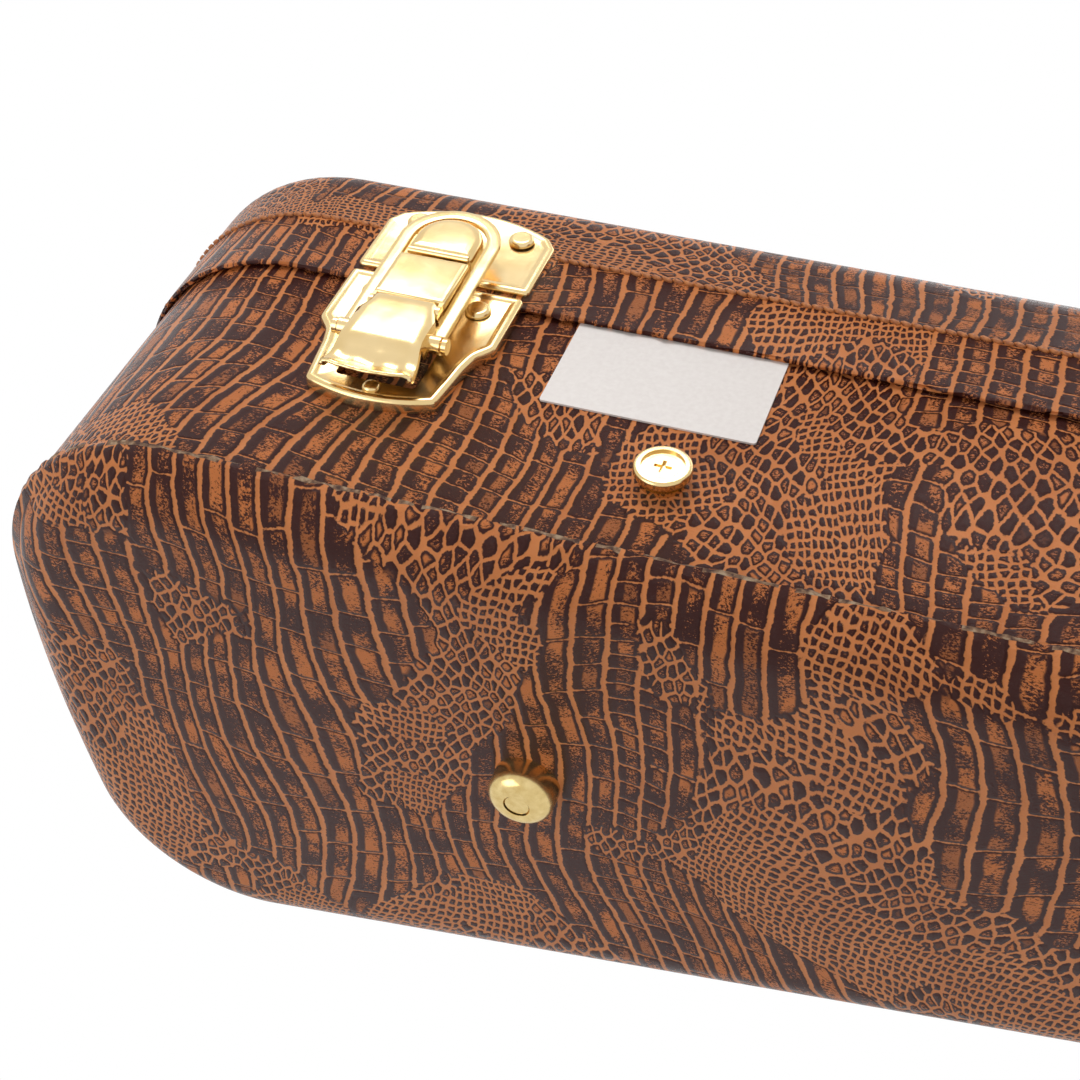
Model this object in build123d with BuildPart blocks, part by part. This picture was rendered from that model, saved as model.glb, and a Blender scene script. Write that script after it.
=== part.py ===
from build123d import *
import os
from math import atan2, cos, degrees, radians, sin, tan

# A shaped mandolin case lying flat on its feet, lid on top.
# X runs from the narrow headstock end to the wide body end, Y from the front with its
# latches to the back with its hinges, and Z up from the floor. All sizes are in millimetres.

# Plan shape, measured over the lid's covering
CASE_LENGTH = 740
HEAD_HALF_WIDTH = 76.3
HEAD_END_SLOPE = 5.8
HEAD_END_RADIUS = 327
HEAD_CORNER_RADIUS = 42.9
NECK_TAPER = 5
WAIST_FROM_TAIL = 455
WAIST_RADIUS = 60
SHOULDER_FROM_TAIL = 403
SHOULDER_RADIUS = 85
BODY_HALF_WIDTH = 148
TAIL_CORNER_RADIUS = 110
TAIL_END_SLOPE = 3.9
TAIL_END_RADIUS = 300

# Heights above the floor
FOOT_HEIGHT = 7
BODY_HEIGHT = 76
RIM_GAP = 0.4
LID_HEIGHT = 41.15
LIP_OVERLAP = 1.6
BOTTOM_SEAM_HEIGHT = 10.15
LID_SEAM_DROP = 23.6

# Walls and skins
COVERING = 0.8
PLYWOOD = 4
LINING = 1.8
LID_OVERHANG = 1.6
BOTTOM_EDGE_RADIUS = 12.7
LID_EDGE_RADIUS = 10
PANEL_RIM = 12
RIM_STRIP_THICKNESS = 2
RIM_STRIP_RISE = 7
RIM_STRIP_DEPTH = 12
SEAM_BEAD_WIDTH = 1.6
SEAM_BEAD_PROUD = 0.5

# Padding inside
FLOOR_PAD = 8
LID_PAD = 8
PAD_GAP = 0.3
PAD_SIDE_GAP = 0.4

# Neck cradle and accessory box
CRADLE_FROM_WAIST = 90
CRADLE_LENGTH = 40
CRADLE_HEIGHT = 42
CRADLE_GROOVE_RADIUS = 24
CRADLE_GROOVE_RISE = 6
BOX_FROM_WAIST = 24
BOX_LENGTH = 62
BOX_HEIGHT = 24
BOX_WALL = 5
BOX_SIDE_GAP = 0.6
BOX_LID_THICKNESS = 3.5
BOX_LID_INSET = 1
BOX_LID_SIDE_INSET = 4.2
TAB_LENGTH = 17
TAB_WIDTH = 12
TAB_THICKNESS = 1.2

# Draw latches
LATCH_WIDTH = 40
NECK_LATCH_FROM_HEAD = 81.4
BODY_LATCHES_FROM_TAIL = (328, 137)
LATCH_DATUM_DROP = 2
BASE_TOP = 2.1
BASE_SHOULDER = -16.2
BASE_WAIST = -24
BASE_CORNER = -36.4
BASE_DIP = -39.4
BASE_FOOT_HALF_WIDTH = 14.4
BASE_WAIST_HALF_WIDTH = 16
BASE_THICKNESS = 2.8
BASE_BEVEL = 0.8
CATCH_BOTTOM = 4.2
CATCH_SHOULDER = 22
CATCH_CORNER = 25.3
CATCH_CORNER_HALF_WIDTH = 17.7
CATCH_CROWN = 29.8
CATCH_THICKNESS = 1.3
CATCH_BEVEL = 0.5
HOOK_RADIUS = 7.5
HOOK_CENTRE = 9.3
HOOK_BOTTOM = 4.9
HOOK_HEIGHT = 4.5
HOOK_EDGE_RADIUS = 1.2
HOOK_SHELL = 1
BAIL_GAP = 0.3
BAIL_THICKNESS = 1.3
BAIL_INNER_RADIUS = 8.35
BAIL_OUTER_RADIUS = 11.4
BAIL_CENTRE = 9.3
BAIL_EYE_RADIUS = 2
PANEL_HALF_WIDTH = 8
PANEL_TOP = 1
PANEL_BOTTOM = -13.8
PANEL_HEIGHT = 10.4
PANEL_WALL = 1.1
LEVER_AXIS_HEIGHT = 8.8
LEVER_AXIS_GAP = 2.2
LEVER_ROLL_RADIUS = 1.6
LEVER_EAR_RADIUS = 1.8
LEVER_SHEET = 1
LEVER_NECK_HALF_WIDTH = 6.6
LEVER_HALF_WIDTH = 7.9
LEVER_BEND_HALF_WIDTH = 8.4
LEVER_LIP_HALF_WIDTH = 9.3
LEVER_BEND = -29
LEVER_SCOOP = -33
LEVER_SCOOP_HEIGHT = 8
LEVER_LIP = -37.5
LEVER_TIP = -39.8
LEVER_TIP_HEIGHT = 8.8
LEVER_FLANGE_HEIGHT = 5.9
LEVER_FLANGE_LENGTH = 7
LEVER_PIN_RADIUS = 1
BAIL_PIN_RADIUS = 1.1
BAIL_PIN_UP = -24.05
BAIL_PIN_OUT = 7.4
BAIL_PIN_HEAD_RADIUS = 1.7
BAIL_PIN_HEAD = 1
WINDOW_HALF_WIDTH = 9
WINDOW_TOP = -18
WINDOW_BOTTOM = -33.4
STOP_RADIUS = 1.8
STOP_HEIGHT = 0.8
STOP_UP = -35.4
RUNNING_CLEARANCE = 0.05
SIDE_CLEARANCE = 0.3

# Rivets that hold latches and hinges
RIVET_HEAD_RADIUS = 2.85
RIVET_HEAD = 1.2
RIVET_DOME = 1
RIVET_SHANK_RADIUS = 1.3
RIVET_HOLE_CLEARANCE = 0.05
BASE_RIVET_OUT = 11.95
BASE_RIVET_UP = -5.1
CATCH_RIVET_OUT = 12.2
CATCH_RIVET_UP = 22

# Name plate, left bare
PLATE_FROM_HEAD = 137.1
PLATE_WIDTH = 45.6
PLATE_HEIGHT = 27.8
PLATE_TOP = 1.6
PLATE_THICKNESS = 0.45
PLATE_CORNER = 0.6

# Strap buttons
BUTTON_FROM_HEAD = 145.4
BUTTON_Z = 38.9
TAIL_BUTTON_Z = 45
BUTTON_HEAD_RADIUS = 5.9
BUTTON_NECK_RADIUS = 3.6
BUTTON_BASE_RADIUS = 4.8
BUTTON_BASE = 1
BUTTON_NECK_LENGTH = 2.2
BUTTON_HEAD = 2.3
BUTTON_DISH_RADIUS = 4.4
BUTTON_DISH = 0.6
SCREW_HEAD_RADIUS = 3.4
SCREW_HEAD = 1.3
SCREW_SHANK_RADIUS = 1.9
SCREW_SLOT_LENGTH = 3.6
SCREW_SLOT_WIDTH = 0.8
SCREW_SLOT_DEPTH = 0.8

# Feet under the bottom panel
HEAD_FOOT_FROM_HEAD = 121.7
HEAD_FOOT_Y = -3
BODY_FEET_FROM_TAIL = (365, 80)
BODY_FOOT_FROM_SIDE = 56
FOOT_RADIUS = 7.2
FOOT_EDGE_RADIUS = 3.2
FOOT_RECESS_RADIUS = 2.9
FOOT_RECESS = 0.3
FOOT_RIVET_RADIUS = 2.6
FOOT_RIVET_HEAD = 1.2
FOOT_RIVET_SHANK_RADIUS = 1.6

# Hinges at the back
HINGES_FROM_TAIL = (315, 150)
HINGE_WIDTH = 45
HINGE_KNUCKLES = 5
HINGE_KNUCKLE_RADIUS = 3
HINGE_PIN_RADIUS = 1.3
HINGE_LID_CLEARANCE = 0.3
HINGE_BODY_LEAF = 2
HINGE_LID_LEAF = 1.5
HINGE_LEAF_DROP = 26
HINGE_LEAF_RISE = 16
HINGE_NOTCH = 3.4
HINGE_WEB = 1.6
HINGE_RIVET_X = 15
HINGE_BODY_RIVETS = (-8, -20)
HINGE_LID_RIVET = 12.5

# Carrying handle
HANDLE_FROM_TAIL = 232.5
HANDLE_SPAN = 108
HANDLE_DROP = 33
HANDLE_AXIS_DROP = 19
HANDLE_AXIS_OUT = 11
HANDLE_ROD_RADIUS = 3
HANDLE_BEND_RADIUS = 14
HANDLE_EYE_RADIUS = 4.3
HANDLE_EYE_LENGTH = 6.2
HANDLE_PIN_RADIUS = 2
GRIP_LENGTH = 76
GRIP_HEIGHT = 18
GRIP_DEPTH = 16
GRIP_EDGE_RADIUS = 5
BRACKET_WIDTH = 15
BRACKET_HEIGHT = 26
BRACKET_PLATE = 1.5
BRACKET_EAR = 1.4
BRACKET_EAR_RADIUS = 4.5
BRACKET_GAP = 6.8
BRACKET_SCREW_UP = 9.5
PIN_HEAD_RADIUS = 3
PIN_HEAD = 0.8

# Places along the case: the head end's fittings keep to it, and all else keeps to the tail end
head_end_x = -CASE_LENGTH / 2
tail_end_x = CASE_LENGTH / 2
waist_x = tail_end_x - WAIST_FROM_TAIL
shoulder_x = tail_end_x - SHOULDER_FROM_TAIL
cradle_x = waist_x - CRADLE_FROM_WAIST
box_x = waist_x - BOX_FROM_WAIST
handle_x = tail_end_x - HANDLE_FROM_TAIL

# Levels that follow from the sizes above
rim_z = FOOT_HEIGHT + BODY_HEIGHT
lid_wall_z = rim_z + RIM_GAP
lip_z = rim_z - LIP_OVERLAP
lid_top_z = rim_z + LID_HEIGHT
bottom_seam_z = FOOT_HEIGHT + BOTTOM_SEAM_HEIGHT
lid_seam_z = lid_top_z - LID_SEAM_DROP
datum_z = rim_z - LATCH_DATUM_DROP
panel_z = FOOT_HEIGHT + COVERING
inner_floor_z = panel_z + PLYWOOD
inner_roof_z = lid_top_z - COVERING - PLYWOOD
pad_top_z = inner_floor_z + PAD_GAP + FLOOR_PAD
lid_pad_z = inner_roof_z - PAD_GAP - LID_PAD

# Insets from the outside of the lid's covering
body_skin_inset = LID_OVERHANG
body_wood_inset = body_skin_inset + COVERING
body_inner_inset = body_wood_inset + PLYWOOD
body_lined_inset = body_inner_inset + LINING
lid_inner_inset = COVERING + PLYWOOD
lid_lined_inset = lid_inner_inset + LINING

# The plan is set back so that the floor point under the middle of the whole case is the origin
hinge_axis_out = LID_OVERHANG + HINGE_LID_CLEARANCE + HINGE_KNUCKLE_RADIUS
button_reach = BUTTON_NECK_LENGTH + BUTTON_HEAD - LID_OVERHANG
front_reach = BODY_HALF_WIDTH - LID_OVERHANG + HANDLE_AXIS_OUT + GRIP_DEPTH / 2
back_reach = BODY_HALF_WIDTH - LID_OVERHANG + hinge_axis_out + HINGE_KNUCKLE_RADIUS
PLAN = Plane(origin=(-button_reach / 2, (front_reach - back_reach) / 2, 0))

# Corners of the plan before they are rounded
head_apex_x = head_end_x - HEAD_END_RADIUS * (1 / cos(radians(HEAD_END_SLOPE)) - 1)
tail_apex_x = tail_end_x + TAIL_END_RADIUS * (1 / cos(radians(TAIL_END_SLOPE)) - 1)
head_corner_x = head_apex_x + HEAD_HALF_WIDTH * tan(radians(HEAD_END_SLOPE))
tail_corner_x = tail_apex_x - BODY_HALF_WIDTH * tan(radians(TAIL_END_SLOPE))


def neck_half_width(x):
    """Half width of the tapering neck part at x, over the lid's covering."""
    return HEAD_HALF_WIDTH - (x - head_corner_x) * tan(radians(NECK_TAPER))


front_corners = [
    (head_corner_x, -HEAD_HALF_WIDTH, HEAD_CORNER_RADIUS),
    (waist_x, -neck_half_width(waist_x), WAIST_RADIUS),
    (shoulder_x, -BODY_HALF_WIDTH, SHOULDER_RADIUS),
    (tail_corner_x, -BODY_HALF_WIDTH, TAIL_CORNER_RADIUS),
]
back_corners = [(x, -y, radius) for x, y, radius in reversed(front_corners)]
plan_corners = [
    (head_apex_x, 0, HEAD_END_RADIUS),
    *front_corners,
    (tail_apex_x, 0, TAIL_END_RADIUS),
    *back_corners,
]


def case_outline(inset):
    """Plan outline of the case, inset from the outside of the lid's covering."""
    points = []
    radii = []
    for i, (x, y, radius) in enumerate(plan_corners):
        here = Vector(x, y)
        last = Vector(*plan_corners[i - 1][:2])
        next_one = Vector(*plan_corners[(i + 1) % len(plan_corners)][:2])
        run_in = (here - last).normalized()
        run_out = (next_one - here).normalized()
        inward_in = Vector(-run_in.Y, run_in.X)
        inward_out = Vector(-run_out.Y, run_out.X)
        moved = here + (inward_in + inward_out) * (inset / (1 + inward_in.dot(inward_out)))
        hollow = run_in.cross(run_out).Z < 0
        points.append((moved.X, moved.Y))
        radii.append(radius + inset if hollow else radius - inset)
    with BuildSketch(Plane.XY) as outline:
        with BuildLine():
            FilletPolyline(*points, radius=radii, close=True)
        make_face()
    return outline.sketch


def filled_case(inset, low, high, low_radius=0, high_radius=0):
    """A solid block of the case's plan, with its lower or upper edge rounded."""
    outline = case_outline(inset)
    with BuildPart() as block:
        with BuildSketch(PLAN.offset(low)):
            add(outline)
        extrude(amount=high - low)
        if low_radius > 0:
            fillet(block.edges().group_by(Axis.Z)[0], low_radius)
        if high_radius > 0:
            fillet(block.edges().group_by(Axis.Z)[-1], high_radius)
    return block.part


def case_band(outer_inset, inner_inset, low, high):
    """A band that follows the case's walls between two insets."""
    outer = case_outline(outer_inset)
    inner = case_outline(inner_inset)
    with BuildPart() as band:
        with BuildSketch(PLAN.offset(low)):
            add(outer)
            add(inner, mode=Mode.SUBTRACT)
        extrude(amount=high - low)
    return band.part


def cross_piece(inset, x, length, low, high):
    """A block across the inside of the case that follows its side walls."""
    outline = case_outline(inset)
    with BuildPart() as block:
        with BuildSketch(PLAN.offset(low)):
            add(outline)
            with Locations((x, 0)):
                Rectangle(length, 2 * BODY_HALF_WIDTH, mode=Mode.INTERSECT)
        extrude(amount=high - low)
    return block.part


def neck_plane(x):
    """Plane on the front of the neck part's covering, at the latch datum: x along, y up."""
    outward = Vector(sin(radians(NECK_TAPER)), -cos(radians(NECK_TAPER)), 0)
    along = Vector(cos(radians(NECK_TAPER)), sin(radians(NECK_TAPER)), 0)
    on_lid = PLAN.from_local_coords(Vector(x, -neck_half_width(x), datum_z))
    return Plane(origin=on_lid - outward * LID_OVERHANG, x_dir=along, z_dir=outward)


def front_plane(x):
    """Plane on the front of the body part's covering, at the latch datum."""
    origin = PLAN.from_local_coords(Vector(x, LID_OVERHANG - BODY_HALF_WIDTH, datum_z))
    return Plane(origin=origin, x_dir=(1, 0, 0), z_dir=(0, -1, 0))


def back_plane(x):
    """Plane on the back of the body part's covering, at the latch datum."""
    origin = PLAN.from_local_coords(Vector(x, BODY_HALF_WIDTH - LID_OVERHANG, datum_z))
    return Plane(origin=origin, x_dir=(-1, 0, 0), z_dir=(0, 1, 0))


def tail_plane():
    """Plane on the middle of the tail end's covering, at the latch datum."""
    origin = PLAN.from_local_coords(Vector(tail_end_x - LID_OVERHANG, 0, datum_z))
    return Plane(origin=origin, x_dir=(0, 1, 0), z_dir=(1, 0, 0))


def across(face, along=0):
    """Plane square to a wall: its x runs out of the wall and its y runs up."""
    origin = face.from_local_coords(Vector(along, 0, 0))
    return Plane(origin=origin, x_dir=face.z_dir, z_dir=face.x_dir * -1)


def save(part, label):
    """Label one finished piece and write it to its own file."""
    part.label = label
    export_step(part, f"parts/{label}.step")


def rivets(face, places, seat, grip):
    """Domed rivets with their heads on the seat and their shanks through the grip."""
    with BuildPart() as group:
        with BuildSketch(face.offset(seat)):
            with Locations(*places):
                Circle(RIVET_HEAD_RADIUS)
        extrude(amount=RIVET_HEAD)
        fillet(group.edges().group_by(Axis(face.origin, face.z_dir))[-1], RIVET_DOME)
        with BuildSketch(face.offset(seat)):
            with Locations(*places):
                Circle(RIVET_SHANK_RADIUS)
        extrude(amount=-grip)
    return group.part


def fastener_holes(places, radius, face, low, high):
    """Round holes square to a wall, to cut out of what the fasteners pass through."""
    with BuildPart() as holes:
        with BuildSketch(face.offset(low)):
            with Locations(*places):
                Circle(radius)
        extrude(amount=high - low)
    return holes.part


lever_axis_up = PANEL_BOTTOM - LEVER_AXIS_GAP
catch_face = LID_OVERHANG + CATCH_THICKNESS
bail_crown_out = catch_face + HOOK_HEIGHT + BAIL_GAP + BAIL_THICKNESS / 2
bail_tilt = degrees(atan2(BAIL_PIN_OUT - bail_crown_out, BAIL_CENTRE - BAIL_PIN_UP))
base_rivet_places = [(side * BASE_RIVET_OUT, BASE_RIVET_UP) for side in (-1, 1)]
catch_rivet_places = [(side * CATCH_RIVET_OUT, CATCH_RIVET_UP) for side in (-1, 1)]
rivet_hole_radius = RIVET_SHANK_RADIUS + RIVET_HOLE_CLEARANCE
wall_depth = COVERING + PLYWOOD


def latch_base_plate(face):
    """Latch plate on the body: bevelled plate, box panel and the ears for the lever's pin."""
    half = LATCH_WIDTH / 2
    waist_mid = ((half + BASE_WAIST_HALF_WIDTH) / 2 - 0.6, (BASE_SHOULDER + BASE_WAIST) / 2 + 0.8)
    with BuildPart() as base:
        with BuildSketch(face):
            with BuildLine():
                Polyline(
                    (-half, BASE_SHOULDER), (-half, BASE_TOP), (half, BASE_TOP), (half, BASE_SHOULDER)
                )
                ThreePointArc((half, BASE_SHOULDER), waist_mid, (BASE_WAIST_HALF_WIDTH, BASE_WAIST))
                Line((BASE_WAIST_HALF_WIDTH, BASE_WAIST), (BASE_FOOT_HALF_WIDTH, BASE_CORNER))
                ThreePointArc(
                    (BASE_FOOT_HALF_WIDTH, BASE_CORNER),
                    (0, BASE_DIP),
                    (-BASE_FOOT_HALF_WIDTH, BASE_CORNER),
                )
                Line((-BASE_FOOT_HALF_WIDTH, BASE_CORNER), (-BASE_WAIST_HALF_WIDTH, BASE_WAIST))
                ThreePointArc(
                    (-BASE_WAIST_HALF_WIDTH, BASE_WAIST),
                    (-waist_mid[0], waist_mid[1]),
                    (-half, BASE_SHOULDER),
                )
            make_face()
        extrude(amount=BASE_THICKNESS)
        outer_face = base.faces().sort_by(Axis(face.origin, face.z_dir))[-1]
        chamfer(outer_face.edges(), BASE_BEVEL)
        with BuildSketch(face.offset(BASE_THICKNESS)):
            with Locations((0, (PANEL_TOP + PANEL_BOTTOM) / 2)):
                Rectangle(2 * PANEL_HALF_WIDTH, PANEL_TOP - PANEL_BOTTOM)
        extrude(amount=PANEL_HEIGHT - BASE_THICKNESS)
        panel_face = base.faces().sort_by(Axis(face.origin, face.z_dir))[-1]
        fillet(panel_face.edges(), LEVER_SHEET / 2)
        ear_out = LEVER_AXIS_HEIGHT + PANEL_WALL
        ear_up = PANEL_BOTTOM + PANEL_WALL
        for side in (-1, 1):
            ear_plane = across(face, side * (PANEL_HALF_WIDTH - PANEL_WALL / 2))
            with BuildSketch(ear_plane):
                with Locations((LEVER_AXIS_HEIGHT, lever_axis_up)):
                    Circle(LEVER_EAR_RADIUS)
                with Locations(((BASE_THICKNESS + ear_out) / 2, (lever_axis_up + ear_up) / 2)):
                    Rectangle(ear_out - BASE_THICKNESS, ear_up - lever_axis_up)
            extrude(amount=PANEL_WALL / 2, both=True)
        with BuildSketch(face.offset(BASE_THICKNESS)):
            with Locations((0, (PANEL_TOP - PANEL_WALL + PANEL_BOTTOM) / 2)):
                Rectangle(2 * (PANEL_HALF_WIDTH - PANEL_WALL), PANEL_TOP - PANEL_WALL - PANEL_BOTTOM)
        extrude(amount=PANEL_HEIGHT - PANEL_WALL - BASE_THICKNESS, mode=Mode.SUBTRACT)
        with BuildSketch(across(face)):
            with Locations((LEVER_AXIS_HEIGHT, lever_axis_up)):
                Circle(LEVER_PIN_RADIUS + RUNNING_CLEARANCE)
        extrude(amount=LATCH_WIDTH / 2, both=True, mode=Mode.SUBTRACT)
        with BuildSketch(face):
            with Locations((0, (WINDOW_TOP + WINDOW_BOTTOM) / 2)):
                Rectangle(2 * WINDOW_HALF_WIDTH, WINDOW_TOP - WINDOW_BOTTOM)
            with Locations(*base_rivet_places):
                Circle(rivet_hole_radius)
        extrude(amount=BASE_THICKNESS, mode=Mode.SUBTRACT)
        with BuildSketch(face.offset(BASE_THICKNESS)):
            with Locations((0, STOP_UP)):
                Circle(STOP_RADIUS)
        extrude(amount=STOP_HEIGHT)
        with BuildSketch(across(face)):
            with Locations(((LID_OVERHANG + SIDE_CLEARANCE) / 2, BASE_TOP)):
                Rectangle(LID_OVERHANG + SIDE_CLEARANCE, 2 * BASE_TOP)
        extrude(amount=LATCH_WIDTH, both=True, mode=Mode.SUBTRACT)
    return base.part


def latch_catch_plate(face):
    """Catch plate on the lid with its raised, round-topped hook."""
    half = LATCH_WIDTH / 2
    with BuildPart() as catch:
        with BuildSketch(face.offset(LID_OVERHANG)):
            with BuildLine():
                Polyline(
                    (-CATCH_CORNER_HALF_WIDTH, CATCH_CORNER),
                    (-half, CATCH_SHOULDER),
                    (-half, CATCH_BOTTOM),
                    (half, CATCH_BOTTOM),
                    (half, CATCH_SHOULDER),
                    (CATCH_CORNER_HALF_WIDTH, CATCH_CORNER),
                )
                ThreePointArc(
                    (CATCH_CORNER_HALF_WIDTH, CATCH_CORNER),
                    (0, CATCH_CROWN),
                    (-CATCH_CORNER_HALF_WIDTH, CATCH_CORNER),
                )
            make_face()
        extrude(amount=CATCH_THICKNESS)
        outer_face = catch.faces().sort_by(Axis(face.origin, face.z_dir))[-1]
        chamfer(outer_face.edges(), CATCH_BEVEL)
        with BuildSketch(face.offset(catch_face)):
            with Locations((0, HOOK_CENTRE)):
                Circle(HOOK_RADIUS)
            with Locations((0, HOOK_BOTTOM - HOOK_RADIUS)):
                Rectangle(2 * HOOK_RADIUS, 2 * HOOK_RADIUS, mode=Mode.SUBTRACT)
            with Locations((0, (HOOK_CENTRE + HOOK_BOTTOM) / 2)):
                Rectangle(2 * HOOK_RADIUS, HOOK_CENTRE - HOOK_BOTTOM)
        extrude(amount=HOOK_HEIGHT)
        hook_face = catch.faces().sort_by(Axis(face.origin, face.z_dir))[-1]
        fillet(hook_face.edges(), HOOK_EDGE_RADIUS)
        with BuildSketch(face.offset(catch_face)):
            with Locations((0, HOOK_BOTTOM)):
                Rectangle(2 * (HOOK_RADIUS - HOOK_SHELL - HOOK_EDGE_RADIUS), HOOK_RADIUS)
        extrude(amount=HOOK_HEIGHT - HOOK_SHELL, mode=Mode.SUBTRACT)
        with BuildSketch(face.offset(LID_OVERHANG)):
            with Locations(*catch_rivet_places):
                Circle(rivet_hole_radius)
        extrude(amount=CATCH_THICKNESS, mode=Mode.SUBTRACT)
    return catch.part


def latch_lever(face):
    """Thumb lever: rolled at its pin, flanged for the bail's pin, scooped at its lip."""
    top = PANEL_HEIGHT
    sheet_middle = top - LEVER_SHEET / 2
    with BuildPart() as lever:
        with BuildSketch(across(face)):
            with BuildLine():
                Polyline(
                    (top, lever_axis_up),
                    (top, LEVER_BEND),
                    (LEVER_SCOOP_HEIGHT, LEVER_SCOOP),
                    (LEVER_TIP_HEIGHT, LEVER_TIP),
                    (LEVER_TIP_HEIGHT - LEVER_SHEET, LEVER_TIP),
                    (LEVER_SCOOP_HEIGHT - LEVER_SHEET, LEVER_SCOOP),
                    (top - LEVER_SHEET, LEVER_BEND),
                    (top - LEVER_SHEET, lever_axis_up),
                    close=True,
                )
            make_face()
            with Locations((LEVER_AXIS_HEIGHT, lever_axis_up)):
                Circle(LEVER_ROLL_RADIUS)
        extrude(amount=LEVER_LIP_HALF_WIDTH, both=True)
        neck_end = lever_axis_up - LEVER_EAR_RADIUS - 2 * SIDE_CLEARANCE
        with BuildSketch(face):
            with BuildLine():
                Polyline(
                    (-LEVER_LIP_HALF_WIDTH, LEVER_LIP),
                    (-LEVER_BEND_HALF_WIDTH, LEVER_BEND),
                    (-LEVER_HALF_WIDTH, neck_end - SIDE_CLEARANCE),
                    (-LEVER_NECK_HALF_WIDTH, neck_end),
                    (-LEVER_NECK_HALF_WIDTH, 0),
                    (LEVER_NECK_HALF_WIDTH, 0),
                    (LEVER_NECK_HALF_WIDTH, neck_end),
                    (LEVER_HALF_WIDTH, neck_end - SIDE_CLEARANCE),
                    (LEVER_BEND_HALF_WIDTH, LEVER_BEND),
                    (LEVER_LIP_HALF_WIDTH, LEVER_LIP),
                )
                ThreePointArc(
                    (LEVER_LIP_HALF_WIDTH, LEVER_LIP),
                    (0, LEVER_TIP),
                    (-LEVER_LIP_HALF_WIDTH, LEVER_LIP),
                )
            make_face()
        extrude(amount=2 * top, mode=Mode.INTERSECT)
        for side in (-1, 1):
            with BuildSketch(across(face, side * (LEVER_HALF_WIDTH - LEVER_SHEET / 2))):
                with Locations(((LEVER_FLANGE_HEIGHT + sheet_middle) / 2, BAIL_PIN_UP)):
                    Rectangle(sheet_middle - LEVER_FLANGE_HEIGHT, LEVER_FLANGE_LENGTH)
            extrude(amount=LEVER_SHEET / 2, both=True)
        with BuildSketch(across(face)):
            with Locations((LEVER_AXIS_HEIGHT, lever_axis_up)):
                Circle(LEVER_PIN_RADIUS + RUNNING_CLEARANCE)
            with Locations((BAIL_PIN_OUT, BAIL_PIN_UP)):
                Circle(BAIL_PIN_RADIUS + RUNNING_CLEARANCE)
        extrude(amount=LATCH_WIDTH / 2, both=True, mode=Mode.SUBTRACT)
    return lever.part


def latch_bail(face):
    """Flat bail loop: round over the hook, with an eye at the end of each leg."""
    tilt = radians(bail_tilt)
    reach = (BAIL_CENTRE - BAIL_PIN_UP) / cos(tilt)
    normal = face.y_dir * sin(tilt) + face.z_dir * cos(tilt)
    origin = face.from_local_coords(Vector(0, BAIL_PIN_UP, BAIL_PIN_OUT))
    loop_plane = Plane(origin=origin, x_dir=face.x_dir, z_dir=normal)
    leg_middle = (BAIL_INNER_RADIUS + BAIL_OUTER_RADIUS) / 2
    leg_width = BAIL_OUTER_RADIUS - BAIL_INNER_RADIUS
    with BuildPart() as bail:
        with BuildSketch(loop_plane):
            with Locations((0, reach)):
                Circle(BAIL_OUTER_RADIUS)
            with Locations((0, reach / 2)):
                Rectangle(2 * BAIL_OUTER_RADIUS, reach)
            with Locations((0, reach)):
                Circle(BAIL_INNER_RADIUS, mode=Mode.SUBTRACT)
            with Locations((0, reach / 2)):
                Rectangle(2 * BAIL_INNER_RADIUS, reach, mode=Mode.SUBTRACT)
        extrude(amount=BAIL_THICKNESS / 2, both=True)
        for side in (-1, 1):
            with BuildSketch(across(face, side * leg_middle)):
                with Locations((BAIL_PIN_OUT, BAIL_PIN_UP)):
                    Circle(BAIL_EYE_RADIUS)
            extrude(amount=leg_width / 2, both=True)
        with BuildSketch(across(face)):
            with Locations((BAIL_PIN_OUT, BAIL_PIN_UP)):
                Circle(BAIL_PIN_RADIUS + RUNNING_CLEARANCE)
        extrude(amount=LATCH_WIDTH / 2, both=True, mode=Mode.SUBTRACT)
    return bail.part


def latch_lever_pin(face):
    """Pin that carries the lever between the ears."""
    with BuildPart() as pin:
        with BuildSketch(across(face)):
            with Locations((LEVER_AXIS_HEIGHT, lever_axis_up)):
                Circle(LEVER_PIN_RADIUS)
        extrude(amount=PANEL_HALF_WIDTH, both=True)
    return pin.part


def latch_bail_pin(face):
    """Headed pin through the lever's flanges that carries the bail."""
    head_at = BAIL_OUTER_RADIUS + SIDE_CLEARANCE
    with BuildPart() as pin:
        with BuildSketch(across(face)):
            with Locations((BAIL_PIN_OUT, BAIL_PIN_UP)):
                Circle(BAIL_PIN_RADIUS)
        extrude(amount=head_at, both=True)
        for side in (-1, 1):
            with BuildSketch(across(face, side * (head_at + BAIL_PIN_HEAD / 2))):
                with Locations((BAIL_PIN_OUT, BAIL_PIN_UP)):
                    Circle(BAIL_PIN_HEAD_RADIUS)
            extrude(amount=BAIL_PIN_HEAD / 2, both=True)
    return pin.part


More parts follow.
